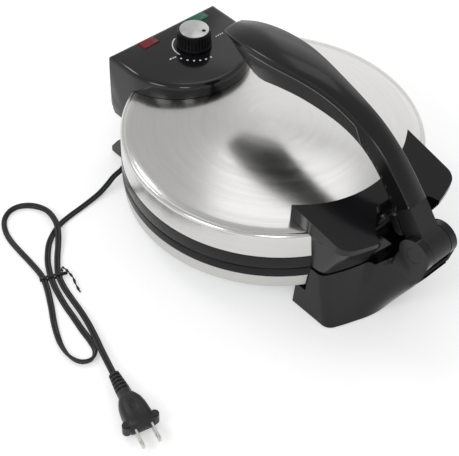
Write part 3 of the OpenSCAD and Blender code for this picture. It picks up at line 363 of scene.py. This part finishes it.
tail_points = in_frame([(-189.2, 43.3, 3.1), (-187.6, 44.6, 4.2), (-186.6, 46.6, 5),
                        (-185.2, 46.4, 5.2), (-184.4, 43, 4.8), (-184.4, 39, 4.2),
                        (-184.7, 34, 3.4), (-186.4, 28.8, 2.6), (-187.8, 23, 1.8),
                        (-188.4, 19.5, 1.4)])
tail_line = smooth_route(tail_points, 8)
strip = oval(0.0011, 0.0005, 12)
tail_mesh = swept("tie_tail", tail_line, strip, [0.3 * i for i in range(len(tail_line))])
tie_tail = shown("tie_tail", tail_mesh, "base", tie_black, "cord_plastic")
knot_line = []
for k in range(14):
    along, twist = 0.35 * k, 2.1 * k
    middle = in_frame([(-188.6 + along * math.cos(0.38), 43.3 - along * math.sin(0.38), 3.1)])[0]
    knot_line.append(middle + Vector((0.0005 * math.sin(twist), 0.0011 * math.cos(twist),
                                      0.0011 * math.sin(twist))))
knot_mesh = swept("tie_knot", knot_line, [(0.7 * x, 1.1 * y) for x, y in strip])
tie_knot = shown("tie_knot", knot_mesh, "base", tie_black, "cord_plastic")


# ---- Plug ---------------------------------------------------------------------------------------
# A moulded two-pin plug: ribbed relief, a grip that widens to the face with thumb rests and
# finger stops, all one black moulding round two folded blades with a hole near their tips.
def round_edges(piece, width, sharp):
    """A small bevel on the edges that are sharper than an angle in degrees."""
    rounding = piece.modifiers.new("rounded_edges", "BEVEL")
    rounding.width, rounding.segments = width, 2
    rounding.limit_method, rounding.angle_limit = "ANGLE", math.radians(sharp)


def softened(name, node, body, material, slot, width=0.0004, sharp=35):
    """A welded copy of a CAD node, shaded smooth and with its sharp edges rounded."""
    bm = bmesh.new()
    bm.from_mesh(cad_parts[node].data)
    bmesh.ops.remove_doubles(bm, verts=bm.verts, dist=4e-6)
    bmesh.ops.dissolve_limit(bm, angle_limit=math.radians(0.6), verts=bm.verts, edges=bm.edges)
    made = shown(name, meshed(name, bm, sharp), body, material, slot, node)
    if width:
        round_edges(made, width, sharp)
    return made


plug_black = moulded("plug_pvc", (0.016, 0.016, 0.017), 0.4, grain=700, depth=0.12)
plug = softened("plug_moulding", "plug_body", "base", plug_black, "cord_plastic", 0.0003)
blade_metal, shader, place = new_finish("nickel_plate", metallic=1)
shader.inputs["Base Color"].default_value = (0.62, 0.6, 0.56, 1)
vary_roughness(shader, pattern("Noise", place, 500, Detail=5)["Fac"], 0.2, 0.42)
blades = softened("blades", "plug_blades", "base", blade_metal, "blade_metal", 0.00025)

# ---- Strain relief ------------------------------------------------------------------------------
# A soft tapered bush, moulded on the cord, with grooves that let it bend. It is pushed through
# the rear stand's side.
relief = softened("relief_bush", "cord_relief", "base", cord_black, "cord_plastic", 0.0002)


# ---- Steel base ---------------------------------------------------------------------------------
# A spun steel wall with a rolled lower edge and a turned-in flange. The brushing runs round
# it, so its grooves spread each highlight across them.
def vary_colour(shader, value, dark, light):
    """Lets the colour follow a pattern between two colours."""
    tree = shader.id_data
    tint = tree.nodes.new("ShaderNodeMix")
    tint.data_type = "RGBA"
    tint.inputs["A"].default_value = (*dark, 1)
    tint.inputs["B"].default_value = (*light, 1)
    tree.links.new(value, tint.inputs["Factor"])
    tree.links.new(tint.outputs["Result"], shader.inputs["Base Color"])


def spun_steel(name, colour, roughness, centre, fine=1400, drawn=0.75):
    """Brushed steel turned on a lathe: grooves round an axis, and bands of unlike polish."""
    made, shader, place = new_finish(name, metallic=1)
    shader.inputs["Anisotropic"].default_value = drawn
    nodes, link = made.node_tree.nodes, made.node_tree.links.new
    about = nodes.new("ShaderNodeMapping")
    about.inputs["Location"].default_value = (-centre[0], -centre[1], 0)
    link(place, about.inputs["Vector"])
    parts = nodes.new("ShaderNodeSeparateXYZ")
    link(about.outputs[0], parts.inputs[0])
    level = nodes.new("ShaderNodeCombineXYZ")
    link(parts.outputs[0], level.inputs[0])
    link(parts.outputs[1], level.inputs[1])
    radius = nodes.new("ShaderNodeVectorMath")
    radius.operation = "LENGTH"
    link(level.outputs[0], radius.inputs[0])
    turn = nodes.new("ShaderNodeMath")
    turn.operation = "ARCTAN2"
    link(parts.outputs[1], turn.inputs[0])
    link(parts.outputs[0], turn.inputs[1])
    slow = nodes.new("ShaderNodeMath")
    slow.operation = "MULTIPLY"
    slow.inputs[1].default_value = 0.0016
    link(turn.outputs[0], slow.inputs[0])
    across = nodes.new("ShaderNodeCombineXYZ")
    link(radius.outputs["Value"], across.inputs[0])
    link(parts.outputs[2], across.inputs[1])
    link(slow.outputs[0], across.inputs[2])
    grooves = pattern("Noise", across.outputs[0], fine, Detail=5, Roughness=0.7)["Fac"]
    raise_grain(shader, grooves, 0.12, 0.00005)
    vary_colour(shader, grooves, [0.88 * c for c in colour], [1.08 * c for c in colour])
    bands = pattern("Noise", across.outputs[0], fine / 7, Detail=3)["Fac"]
    vary_roughness(shader, bands, roughness - 0.07, roughness + 0.07)
    facing = nodes.new("ShaderNodeNewGeometry")
    along = nodes.new("ShaderNodeVectorMath")
    along.operation = "CROSS_PRODUCT"
    along.inputs[0].default_value = (0, 0, 1)
    link(level.outputs[0], along.inputs[1])
    spread = nodes.new("ShaderNodeVectorMath")
    spread.operation = "CROSS_PRODUCT"
    link(along.outputs[0], spread.inputs[0])
    link(facing.outputs["Normal"], spread.inputs[1])
    link(spread.outputs[0], shader.inputs["Tangent"])
    return made


def rounded(cx, cz, radius, first, last, steps):
    """Points of an arc in an outline, in millimetres and degrees."""
    return [(cx + radius * math.cos(math.radians(first + (last - first) * i / steps)),
             cz + radius * math.sin(math.radians(first + (last - first) * i / steps)))
            for i in range(steps + 1)]


plates_axis = (0, 0.0194)


def turned(name, outline, steps=192, centre=plates_axis, closed=True):
    """A mesh turned about an upright axis from an outline of radii and heights, in millimetres."""
    bm = bmesh.new()
    rim = [bm.verts.new((centre[0] + r / 1000, centre[1], z / 1000)) for r, z in outline]
    for i in range(len(rim) if closed else len(rim) - 1):
        bm.edges.new((rim[i], rim[(i + 1) % len(rim)]))
    bmesh.ops.spin(bm, geom=bm.verts[:] + bm.edges[:], cent=(*centre, 0), axis=(0, 0, 1),
                   angle=2 * math.pi, steps=steps, use_merge=True)
    bmesh.ops.remove_doubles(bm, verts=bm.verts, dist=1e-6)
    return meshed(name, bm)


body_steel = spun_steel("body_steel", (0.58, 0.575, 0.565), 0.3, plates_axis)
sheet, edge_roll, flange_r, wall_foot, wall_top = 0.8, 2.5, 112, 29, 40
base_outline = ([(124.3, wall_top), (124, wall_foot)]
                + rounded(121.5, 28.5, edge_roll, 0, -90, 8)
                + [(flange_r, 26), (flange_r, 26 + sheet)]
                + rounded(121.5, 28.5, edge_roll - sheet, -90, 0, 6)
                + [(124 - sheet, wall_foot), (124.3 - sheet, wall_top)])
shown("base_wall", turned("base_wall", base_outline), "base", body_steel, "brushed_steel",
      "base_shell")


# ---- Bottom cover and its screws ----------------------------------------------------------------
# A galvanised steel pan with vent slots pressed through it. Four zinc-plated screws hold it to
# the flange of the steel wall.
def finish_node(material, *names):
    """CAD nodes that keep their shape and get their own finish."""
    for name in names:
        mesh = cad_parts[name].data
        mesh.materials.clear()
        mesh.materials.append(material)


galvanised, shader, place = new_finish("galvanised_sheet", metallic=1)
flakes = pattern("Voronoi", place, 90)["Color"]
vary_roughness(shader, flakes, 0.28, 0.5)
vary_colour(shader, flakes, (0.36, 0.37, 0.38), (0.5, 0.51, 0.52))
finish_node(galvanised, "bottom_cover")


def plated(name, colour, roughness, scale=350, spread=0.1):
    """Plated metal: small clouds of colour and of polish, as on screws and pins."""
    made, shader, place = new_finish(name, metallic=1)
    clouds = pattern("Noise", place, scale, Detail=4)["Fac"]
    vary_roughness(shader, clouds, roughness - spread, roughness + spread)
    vary_colour(shader, clouds, [0.85 * c for c in colour], [1.1 * c for c in colour])
    return made


zinc = plated("zinc_plate", (0.5, 0.5, 0.48), 0.3)
finish_node(zinc, "cover_screws")

# ---- Lower ring ---------------------------------------------------------------------------------
# A black thermoset moulding. It carries the lower plate and hides the top edge of the steel
# wall.
ring_black = moulded("ring_black", (0.005, 0.005, 0.0065), 0.26, grain=1100, depth=0.04,
                     specular=0.2)
plate_seat_r, ring_r, lip_middle, lip_r = 108, 125.2, 124.4, 0.8
ring_outline = ([(plate_seat_r, 48.7)] + rounded(lip_middle, 47.9, lip_r, 90, 0, 4)
                + [(ring_r, 40.3), (123.1, 40.3), (123.1, 35.5), (119.8, 35.5), (119.8, 38),
                   (104.5, 38), (104.5, 41), (plate_seat_r, 41)])
shown("lower_rim_ring", turned("lower_rim_ring", ring_outline), "base", ring_black,
      "black_plastic", "lower_ring")

# ---- Lower plate, heater and heat shield --------------------------------------------------------
# A cast aluminium plate with a dark non-stick coat, a sheathed heater clamped under it, and a
# galvanised shield, all held by three screws into the plate's bosses.
coating, shader, place = new_finish("non_stick_coat")
shader.inputs["Roughness"].default_value = 0.42
shader.inputs["Specular IOR Level"].default_value = 0.4
few = shader.id_data.nodes.new("ShaderNodeMapRange")
few.inputs["From Min"].default_value = 0.1
few.inputs["From Max"].default_value = 0.22
shader.id_data.links.new(pattern("Voronoi", place, 700)["Distance"], few.inputs["Value"])
vary_colour(shader, few.outputs["Result"], (0.09, 0.09, 0.09), (0.022, 0.022, 0.024))
raise_grain(shader, pattern("Noise", place, 400)["Fac"], 0.15, 0.0002)
softened("lower_baking_plate", "lower_plate", "base", coating, "coated_plate")
sheath = plated("heater_sheath", (0.16, 0.14, 0.13), 0.5, scale=120)
finish_node(sheath, "lower_element")
finish_node(galvanised, "lower_heat_shield")
finish_node(zinc, "lower_plate_screws")

# ---- Front stand --------------------------------------------------------------------------------
# One black moulding: a wide foot under the body whose front swells forward and up into a neck
# with two round ears. The lever's root turns in the slot between them, which is moulded matt.
stand_foot, stand_front, stand_back = 1.2, 151, -97.6
pivot_y, pivot_z, ear_r, ears_half, slot_half = -167.5, 78, 14, 16.6, 10.4


def stand_ring(z):
    """Outline of the front stand at a height, about the plates' axis, in millimetres."""
    t, rise = (z - stand_foot) / 46.2, (z - stand_foot) / 57.3
    half, front, corner = 65.4 - 3.5 * t, stand_front - 15.8 * t, 9 - 2 * t
    cx = half - corner
    cy = -math.sqrt((front - corner) ** 2 - cx * cx)
    last = math.degrees(math.atan2(cy, cx))
    edge = [(half, stand_back)] + rounded(cx, cy, corner, 0, last, 6)
    edge += rounded(0, 0, front, last, -90, 24)[1:]
    flat, wide, forward = 4 + 9 * rise, 46 - 29.5 * rise ** 1.3, stand_front + rise * 27.5
    ring = []
    for x, y in edge + [(-x, y) for x, y in reversed(edge[:-1])]:
        out = min(max((abs(x) - flat) / (wide - flat), 0), 1)
        swell = 1 - out * out * (3 - 2 * out)
        ring.append((x, y * (1 - swell) - forward * swell, z))
    return ring


def lofted(rings):
    """A closed bmesh through rings of as many points each, given in millimetres."""
    bm = bmesh.new()
    loop = [bm.verts.new(p) for p in in_frame(rings[0])]
    bm.faces.new(loop)
    edges = bm.edges[:]
    for ring in rings[1:]:
        grown = bmesh.ops.extrude_edge_only(bm, edges=edges)["geom"]
        edges = [e for e in grown if isinstance(e, bmesh.types.BMEdge)]
        heads = {}
        for old in loop:
            for edge in old.link_edges:
                other = edge.other_vert(old)
                if other in grown:
                    heads[old] = other
        loop = [heads[v] for v in loop]
        for vert, place in zip(loop, in_frame(ring)):
            vert.co = place
    bmesh.ops.contextual_create(bm, geom=edges)
    bmesh.ops.recalc_face_normals(bm, faces=bm.faces)
    return bm


def block(outline, low, high, axis="X"):
    """A bmesh extruded along an axis from an outline in the other two, in millimetres."""
    return lofted([[(reach, a, b) if axis == "X" else (a, b, reach) for a, b in outline]
                   for reach in (low, high)])


def disc(radius, place, reach, axis="X", steps=64):
    """A bmesh cylinder through a point in millimetres, with half its length."""
    bm = bmesh.new()
    bmesh.ops.create_cone(bm, cap_ends=True, segments=steps, radius1=radius / 1000,
                          radius2=radius / 1000, depth=2 * reach / 1000)
    if axis == "X":
        bmesh.ops.rotate(bm, verts=bm.verts, matrix=Matrix.Rotation(math.pi / 2, 3, "Y"))
    bmesh.ops.translate(bm, verts=bm.verts, vec=in_frame([place])[0])
    return bm


def cut_and_joined(name, bm, joins, cuts, sharp):
    """Joins bmeshes to one and cuts others out of it, and gives the smooth mesh."""
    base = bpy.data.objects.new(name, bpy.data.meshes.new(name))
    bm.to_mesh(base.data)
    bm.free()
    bpy.context.scene.collection.objects.link(base)
    helpers = []
    for kind, group in (("UNION", joins), ("DIFFERENCE", cuts)):
        for other in group:
            tool = bpy.data.objects.new("tool", bpy.data.meshes.new("tool"))
            other.to_mesh(tool.data)
            other.free()
            bpy.context.scene.collection.objects.link(tool)
            helpers.append(tool)
            step = base.modifiers.new("step", "BOOLEAN")
            step.operation, step.solver, step.object = kind, "EXACT", tool
    mesh = evaluated(base)
    for used in helpers + [base]:
        bpy.data.objects.remove(used)
    done = bmesh.new()
    done.from_mesh(mesh)
    bmesh.ops.remove_doubles(done, verts=done.verts, dist=2e-6)
    bmesh.ops.dissolve_limit(done, angle_limit=math.radians(0.4), verts=done.verts,
                             edges=done.edges)
    return meshed(name, done, sharp)


gloss_black = moulded("gloss_black", (0.006, 0.006, 0.007), 0.16, grain=700, depth=0.02,
                      spread=0.04)
stand_skin = lofted([stand_ring(stand_foot + 58.8 * i / 14) for i in range(15)])
ears = [(pivot_y + ear_r * math.cos(math.radians(a)), pivot_z + ear_r * math.sin(math.radians(a)))
        for a in range(-20, 201, 10)] + [(-177.7, 58.5), (-173.5, 52), (-151.5, 52), (-149.2, 58.5)]
body_seat = [(-139, 47.4), (-149.6, 60.3), (-149.6, 70), (-90, 70), (-90, 47.4)]
above_pivot = [(-210, pivot_z), (-127, pivot_z), (-127, 120), (-210, 120)]
before_pivot = [(-210, 67.8), (-175.5, 67.8), (-175.5, 120), (-210, 120)]
floor_seat = [(-62.2, -100.4), (-62.2, -128), (-40, -141.5), (0, -147), (40, -141.5),
              (62.2, -128), (62.2, -100.4)]
stand_mesh = cut_and_joined("pivot_stand", stand_skin, sharp=32, joins=[
    block(ears, -ears_half, ears_half),
], cuts=[
    block(body_seat, -90, 90),
    disc(125.5, (0, 0, 51.9), 30, "Z", 192),
    disc(14.05, (0, pivot_y, pivot_z), slot_half),
    block(above_pivot, -slot_half, slot_half),
    block(before_pivot, -slot_half, slot_half),
    block(floor_seat, -1, 4.2, "Z"),
    disc(6.5, (-17.1, pivot_y, pivot_z), 1.7),
    disc(6.5, (17.1, pivot_y, pivot_z), 1.7),
])
front_stand = shown("pivot_stand", stand_mesh, "base", gloss_black, "black_plastic", "front_stand")
slot_black = moulded("slot_black", (0.004, 0.004, 0.0045), 0.7, grain=1300, depth=0.1,
                     specular=0.05)
stand_mesh.materials.append(slot_black)
for face in stand_mesh.polygons:
    if abs(face.center.x) < 0.0105 and face.center.y < -0.13 and face.center.z > 0.06:
        face.material_index = 1
round_edges(front_stand, 0.0006, 40)
matt_black = moulded("matt_black", (0.014, 0.014, 0.015), 0.48, grain=1300, depth=0.16)
finish_node(matt_black, "front_stand_floor")

# ---- Rear stand ---------------------------------------------------------------------------------
# A black moulded foot behind the body, closed by a floor and held by zinc-plated screws. Two
# upright towers hold the hinge pins.
softened("hinge_stand", "rear_stand", "base", gloss_black, "black_plastic", 0.0006)
finish_node(matt_black, "rear_stand_floor")
finish_node(zinc, "stand_screws")

# ---- Rubber feet --------------------------------------------------------------------------------
# Soft black rubber buttons under both stands. Their stems are pulled through the floors of the
# stands.
rubber = moulded("foot_rubber", (0.02, 0.02, 0.02), 0.72, grain=2200, depth=0.3, spread=0.05)
finish_node(rubber, "rubber_feet")

# ---- Lever pin and its caps ---------------------------------------------------------------------
# A ground steel pin pushed through both ears of the front stand. A flush round cap hides it at
# each end.
ground_steel = plated("ground_steel", (0.56, 0.55, 0.54), 0.22, scale=600, spread=0.06)
finish_node(ground_steel, "lever_pin")
softened("pin_caps", "pivot_caps", "base", gloss_black, "black_plastic", 0.0003)

# ---- Lid ----------------------------------------------------------------------------------------
# A shallow dome of stainless sheet with a rolled shoulder, spun and brushed in circles, so
# that light from the side fans out from its middle.
lid_steel = spun_steel("lid_steel", (0.64, 0.635, 0.625), 0.2, plates_axis, fine=1300, drawn=0.4)
lid_r, lid_hem, shoulder_z, crown = 125, 62, 81.3, 91.9
dome_r, dome_rise, dome_edge = 121.6, 7.2, 120.2
dome_ball = (dome_r ** 2 + dome_rise ** 2) / (2 * dome_rise)


def lid_profile(grow):
    """Half the lid's section from its wall to its crown, moved outward by so much."""
    dome = []
    for i in range(25):
        r = dome_edge * (1 - i / 24)
        dome.append((r, crown + grow - dome_ball + math.sqrt(dome_ball ** 2 - r ** 2)))
    return ([(lid_r + grow, shoulder_z)] + rounded(dome_r, shoulder_z, 3.4 + grow, 8, 84, 12)
            + [(121.3, 84.38 + grow), (120.9, 84.42 + grow), (120.5, 84.7 + grow)] + dome)


lid_outline = ([(lid_r, lid_hem)] + lid_profile(0) + lid_profile(-sheet)[::-1]
               + [(lid_r - sheet, lid_hem)])
shown("lid_dome", turned("lid_dome", lid_outline), "lid", lid_steel, "brushed_steel", "lid_shell")

# ---- Upper ring, plate, heater and shield -------------------------------------------------------
# The lid's half of the hot pair: the same ring, coated plate, heater and shield, turned face
# down and held by zinc-plated screws.
upper_outline = ([(plate_seat_r, 49.3)] + rounded(lip_middle, 50.1, lip_r, -90, 0, 4)
                 + [(ring_r, 61.7), (123.9, 61.7), (123.9, 67), (120.6, 67), (120.6, 60),
                    (104.5, 60), (104.5, 57), (plate_seat_r, 57)])
shown("upper_rim_ring", turned("upper_rim_ring", upper_outline), "lid", ring_black,
      "black_plastic", "upper_ring")
softened("upper_baking_plate", "upper_plate", "lid", coating, "coated_plate")
finish_node(sheath, "upper_element")
finish_node(galvanised, "upper_heat_shield")
finish_node(zinc, "upper_plate_screws", "lid_screws", "bracket_screws", "housing_screws")

# ---- Control box --------------------------------------------------------------------------------
# A glossy black moulding, half round in front and square behind, with a soft edge round its
# panel and two arms that reach down to the hinge pins. A floor closes it behind the lid.
box_black = moulded("box_black", (0.0065, 0.0065, 0.008), 0.12, grain=800, depth=0.015,
                    spread=0.03, specular=0.45)
softened("control_box", "control_housing", "lid", box_black, "black_plastic", 0.0005, 32)
finish_node(matt_black, "housing_floor")
finish_node(ground_steel, "hinge_pins")

# ---- Dial marks ---------------------------------------------------------------------------------
# White marks, pad-printed on the panel round the knob: an arc, a row of dots, and a few dashes
# at each end.
print_white, shader, place = new_finish("pad_print")
shader.inputs["Roughness"].default_value = 0.5
vary_colour(shader, pattern("Noise", place, 1800)["Fac"], (0.62, 0.62, 0.61), (0.8, 0.8, 0.79))
knob_axis = in_frame([(6, 106, 0)])[0]
ink_z = 0.1018 + 0.00006
dot_ring, arc_ring, arc_start, arc_end, arc_steps = 0.0222, 0.0186, 112, 188, 24
bm = bmesh.new()


def printed_patch(radius, angle, long, wide):
    """A thin printed patch about the knob's axis, long outward and wide across."""
    corners = bmesh.ops.create_grid(bm, x_segments=1, y_segments=1, size=0.5)["verts"]
    bmesh.ops.scale(bm, vec=(long, wide, 1), verts=corners)
    turn = Matrix.Rotation(math.radians(angle), 4, "Z")
    bmesh.ops.translate(bm, vec=(radius, 0, ink_z), verts=corners)
    bmesh.ops.transform(bm, matrix=Matrix.Translation(knob_axis) @ turn, verts=corners)


for angle in (-160.6, -145.4, -131, -117.4, -104, -90.5):
    dot = bmesh.ops.create_circle(bm, cap_ends=True, segments=16, radius=0.0009)["verts"]
    bmesh.ops.translate(bm, verts=dot, vec=knob_axis + Vector((
        dot_ring * math.cos(math.radians(angle)), dot_ring * math.sin(math.radians(angle)), ink_z)))
for step in range(arc_steps):
    printed_patch(arc_ring, arc_start + (arc_end - arc_start) * (step + 0.5) / arc_steps,
                  0.0011, 0.00104)
for along, angle, long in ((0.0282, -175.2, 0.0024), (0.0256, -174, 0.0013),
                           (0.0237, -173, 0.0013), (0.0228, -8.3, 0.0013),
                           (0.0251, -7.6, 0.0013), (0.0274, -6.9, 0.0013),
                           (0.0297, -6.2, 0.0013)):
    printed_patch(along, angle, long, 0.0013)
shown("dial_marks", meshed("dial_marks", bm), "lid", print_white, "black_plastic")


# ---- Lamp lenses --------------------------------------------------------------------------------
# Two lenses of clear coloured plastic with bevelled tops. They are clipped into the panel over
# neon lamps.
def lens_colour(name, colour, depth):
    """Tinted clear plastic, ribbed on its inner face."""
    made, shader, place = new_finish(name)
    shader.inputs["Roughness"].default_value = 0.12
    shader.inputs["Transmission Weight"].default_value = 0.35
    shader.inputs["IOR"].default_value = 1.49
    ribs = pattern("Wave", place, 220, Distortion=0.4)["Fac"]
    vary_colour(shader, ribs, [c * depth for c in colour], colour)
    return made


lens_size = (0.0166, 0.01, 0.0046)
for lamp, x, colour, depth in (("red", -22.5, (0.3, 0.01, 0.014), 0.5),
                               ("green", 34.5, (0.02, 0.2, 0.12), 0.6)):
    bm = bmesh.new()
    bmesh.ops.create_cube(bm, size=1)
    bmesh.ops.scale(bm, vec=lens_size, verts=bm.verts)
    bmesh.ops.translate(bm, vec=in_frame([(x, 133, 100.7)])[0], verts=bm.verts)
    brim = [e for e in bm.edges if all(v.co.z > 0.101 for v in e.verts)]
    bmesh.ops.bevel(bm, geom=brim, offset=0.0013, segments=3, profile=0.5, material=-1,
                    affect="EDGES")
    shown(lamp + "_lamp_lens", meshed(lamp + "_lamp_lens", bm, 20), "lid",
          lens_colour(lamp + "_clear", colour, depth), lamp + "_lens", lamp + "_lens")

# ---- Lamps, thermostat and terminals ------------------------------------------------------------
# Inside the box: two neon lamps, a ceramic thermostat with a brass bush, and a nylon terminal
# block for the mains wires.
finish_node(moulded("lamp_glass", (0.5, 0.2, 0.08), 0.1, specular=0.5), "indicator_lamps")
ceramic = moulded("thermostat_ceramic", (0.5, 0.4, 0.3), 0.55, grain=500, depth=0.2)
finish_node(ceramic, "thermostat")
finish_node(moulded("terminal_nylon", (0.62, 0.6, 0.54), 0.4, grain=500), "terminal_block")

# ---- Front bracket ------------------------------------------------------------------------------
# A glossy black moulding screwed to the lid's front: a skirt round the rim and two flat wings
# with a slot between them for the lever's root. A thin matt black sheet lies over the lid's
# shoulder behind that slot: painted shade, where the slot is dark.
softened("wing_bracket", "front_bracket", "lid", gloss_black, "black_plastic", 0.0009, 30)
shoulder = slice(18)
# A dark sheet over the steel seen through the slot: painted shade.
shade_sheet_section = lid_profile(0.75)[shoulder] + lid_profile(0.15)[shoulder][::-1]
shade_sheet_rings = [[(r * math.cos(math.radians(a)), r * math.sin(math.radians(a)), z)
                for r, z in shade_sheet_section] for a in (-96.2, -94.1, -92, -90, -88, -85.9, -83.8)]
shown("slot_shade_sheet", meshed("slot_shade_sheet", lofted(shade_sheet_rings)), "lid", slot_black,
      "black_plastic")

# ---- Knob ---------------------------------------------------------------------------------------
# A black fluted knob on the thermostat's shaft, with a brushed cap let into its top. A dark
# dimple in the cap is its pointer.
knob_black = moulded("knob_black", (0.004, 0.004, 0.0045), 0.34, grain=900, depth=0.03,
                     specular=0.1)
softened("fluted_knob", "knob_body", "knob", knob_black, "knob_plastic", 0, 28)
knob_centre = (knob_axis.x, knob_axis.y)
cap_steel = spun_steel("cap_steel", (0.56, 0.56, 0.56), 0.3, knob_centre, fine=3000)
cap_r, cap_low, cap_top = 12.7, 117.62, 118.72
cap_outline = [(0, cap_low), (cap_r, cap_low), (cap_r, 118.3), (12.55, 118.6), (12.2, cap_top),
               (0, cap_top)]
shown("knob_top", turned("knob_top", cap_outline, 96, knob_centre, closed=False), "knob",
      cap_steel, "bright_cap", "knob_cap")
bm = bmesh.new()
bmesh.ops.create_circle(bm, cap_ends=True, segments=24, radius=0.0018)
bmesh.ops.translate(bm, verts=bm.verts, vec=in_frame([(10.3, 98.6, 118.76)])[0])
shown("pointer_dimple", meshed("pointer_dimple", bm), "knob", knob_black, "knob_plastic")
finish_node(ground_steel, "thermostat_shaft")

# ---- Lever --------------------------------------------------------------------------------------
# An arched moulded handle: a lower body pivoted on the pin, and a glossy cover screwed on from
# below, with a fine bead along each of its long edges, grey on the black cover as a painted
# highlight. A steel bush runs on the pin.
lever_matt = moulded("lever_matt", (0.01, 0.01, 0.0105), 0.42, grain=1400, depth=0.2)
softened("lever_frame", "lever_body", "lever", lever_matt, "black_plastic", 0.0004, 32)
lever_gloss = moulded("lever_gloss", (0.006, 0.006, 0.0068), 0.18, grain=900, depth=0.02,
                      spread=0.03)
lever_top = softened("lever_shell", "lever_cover", "lever", lever_gloss, "cover_plastic",
                     0.0006, 30)
# The beads are light grey, far lighter than the cover they edge: a painted highlight, on round
# tubes that also catch the lamps.
bead_highlight_grey = moulded("bead_highlight_grey", (0.075, 0.075, 0.08), 0.26, grain=600, depth=0.02, specular=1)
bead_r, bead_spacing = 0.00042, 0.004
bm = bmesh.new()
bm.from_mesh(lever_top.data)
corners = [v.co.copy() for v in bm.verts
           if any(len(e.link_faces) == 2 and e.calc_face_angle() > math.radians(50)
                  for e in v.link_edges)]
bm.free()
for side, side_name in ((-1, "left"), (1, "right")):
    flank = [p for p in corners if side * p.x > 0.004]
    outer = [p for p in flank if not any(side * (q.x - p.x) > 0.0003
                                         and (q.yz - p.yz).length < 0.006 for q in flank)]
    edge_line = []
    for p in sorted(outer, key=lambda p: p.y):
        if not edge_line or (p - edge_line[-1]).length > bead_spacing:
            edge_line.append(p)
    bead_name = "lever_highlight_bead_" + side_name
    bead = swept(bead_name, smooth_route(edge_line, 3), oval(bead_r, bead_r, 8))
    shown(bead_name, bead, "lever", bead_highlight_grey, "cover_plastic")
finish_node(ground_steel, "lever_bush")
finish_node(zinc, "lever_screws")

# ---- Press pad ----------------------------------------------------------------------------------
# A steel shoe screwed under the lever's root, coloured near black as painted shade where it sits
# under the root. It bears on the bracket when the lever is pressed down.
# Bright steel coloured near black: painted shade under the lever's root.
shoe_painted_dark_steel = plated("shoe_painted_dark_steel", (0.1, 0.1, 0.1), 0.4, scale=200)
softened("press_shoe", "press_pad", "lever", shoe_painted_dark_steel, "bright_steel")
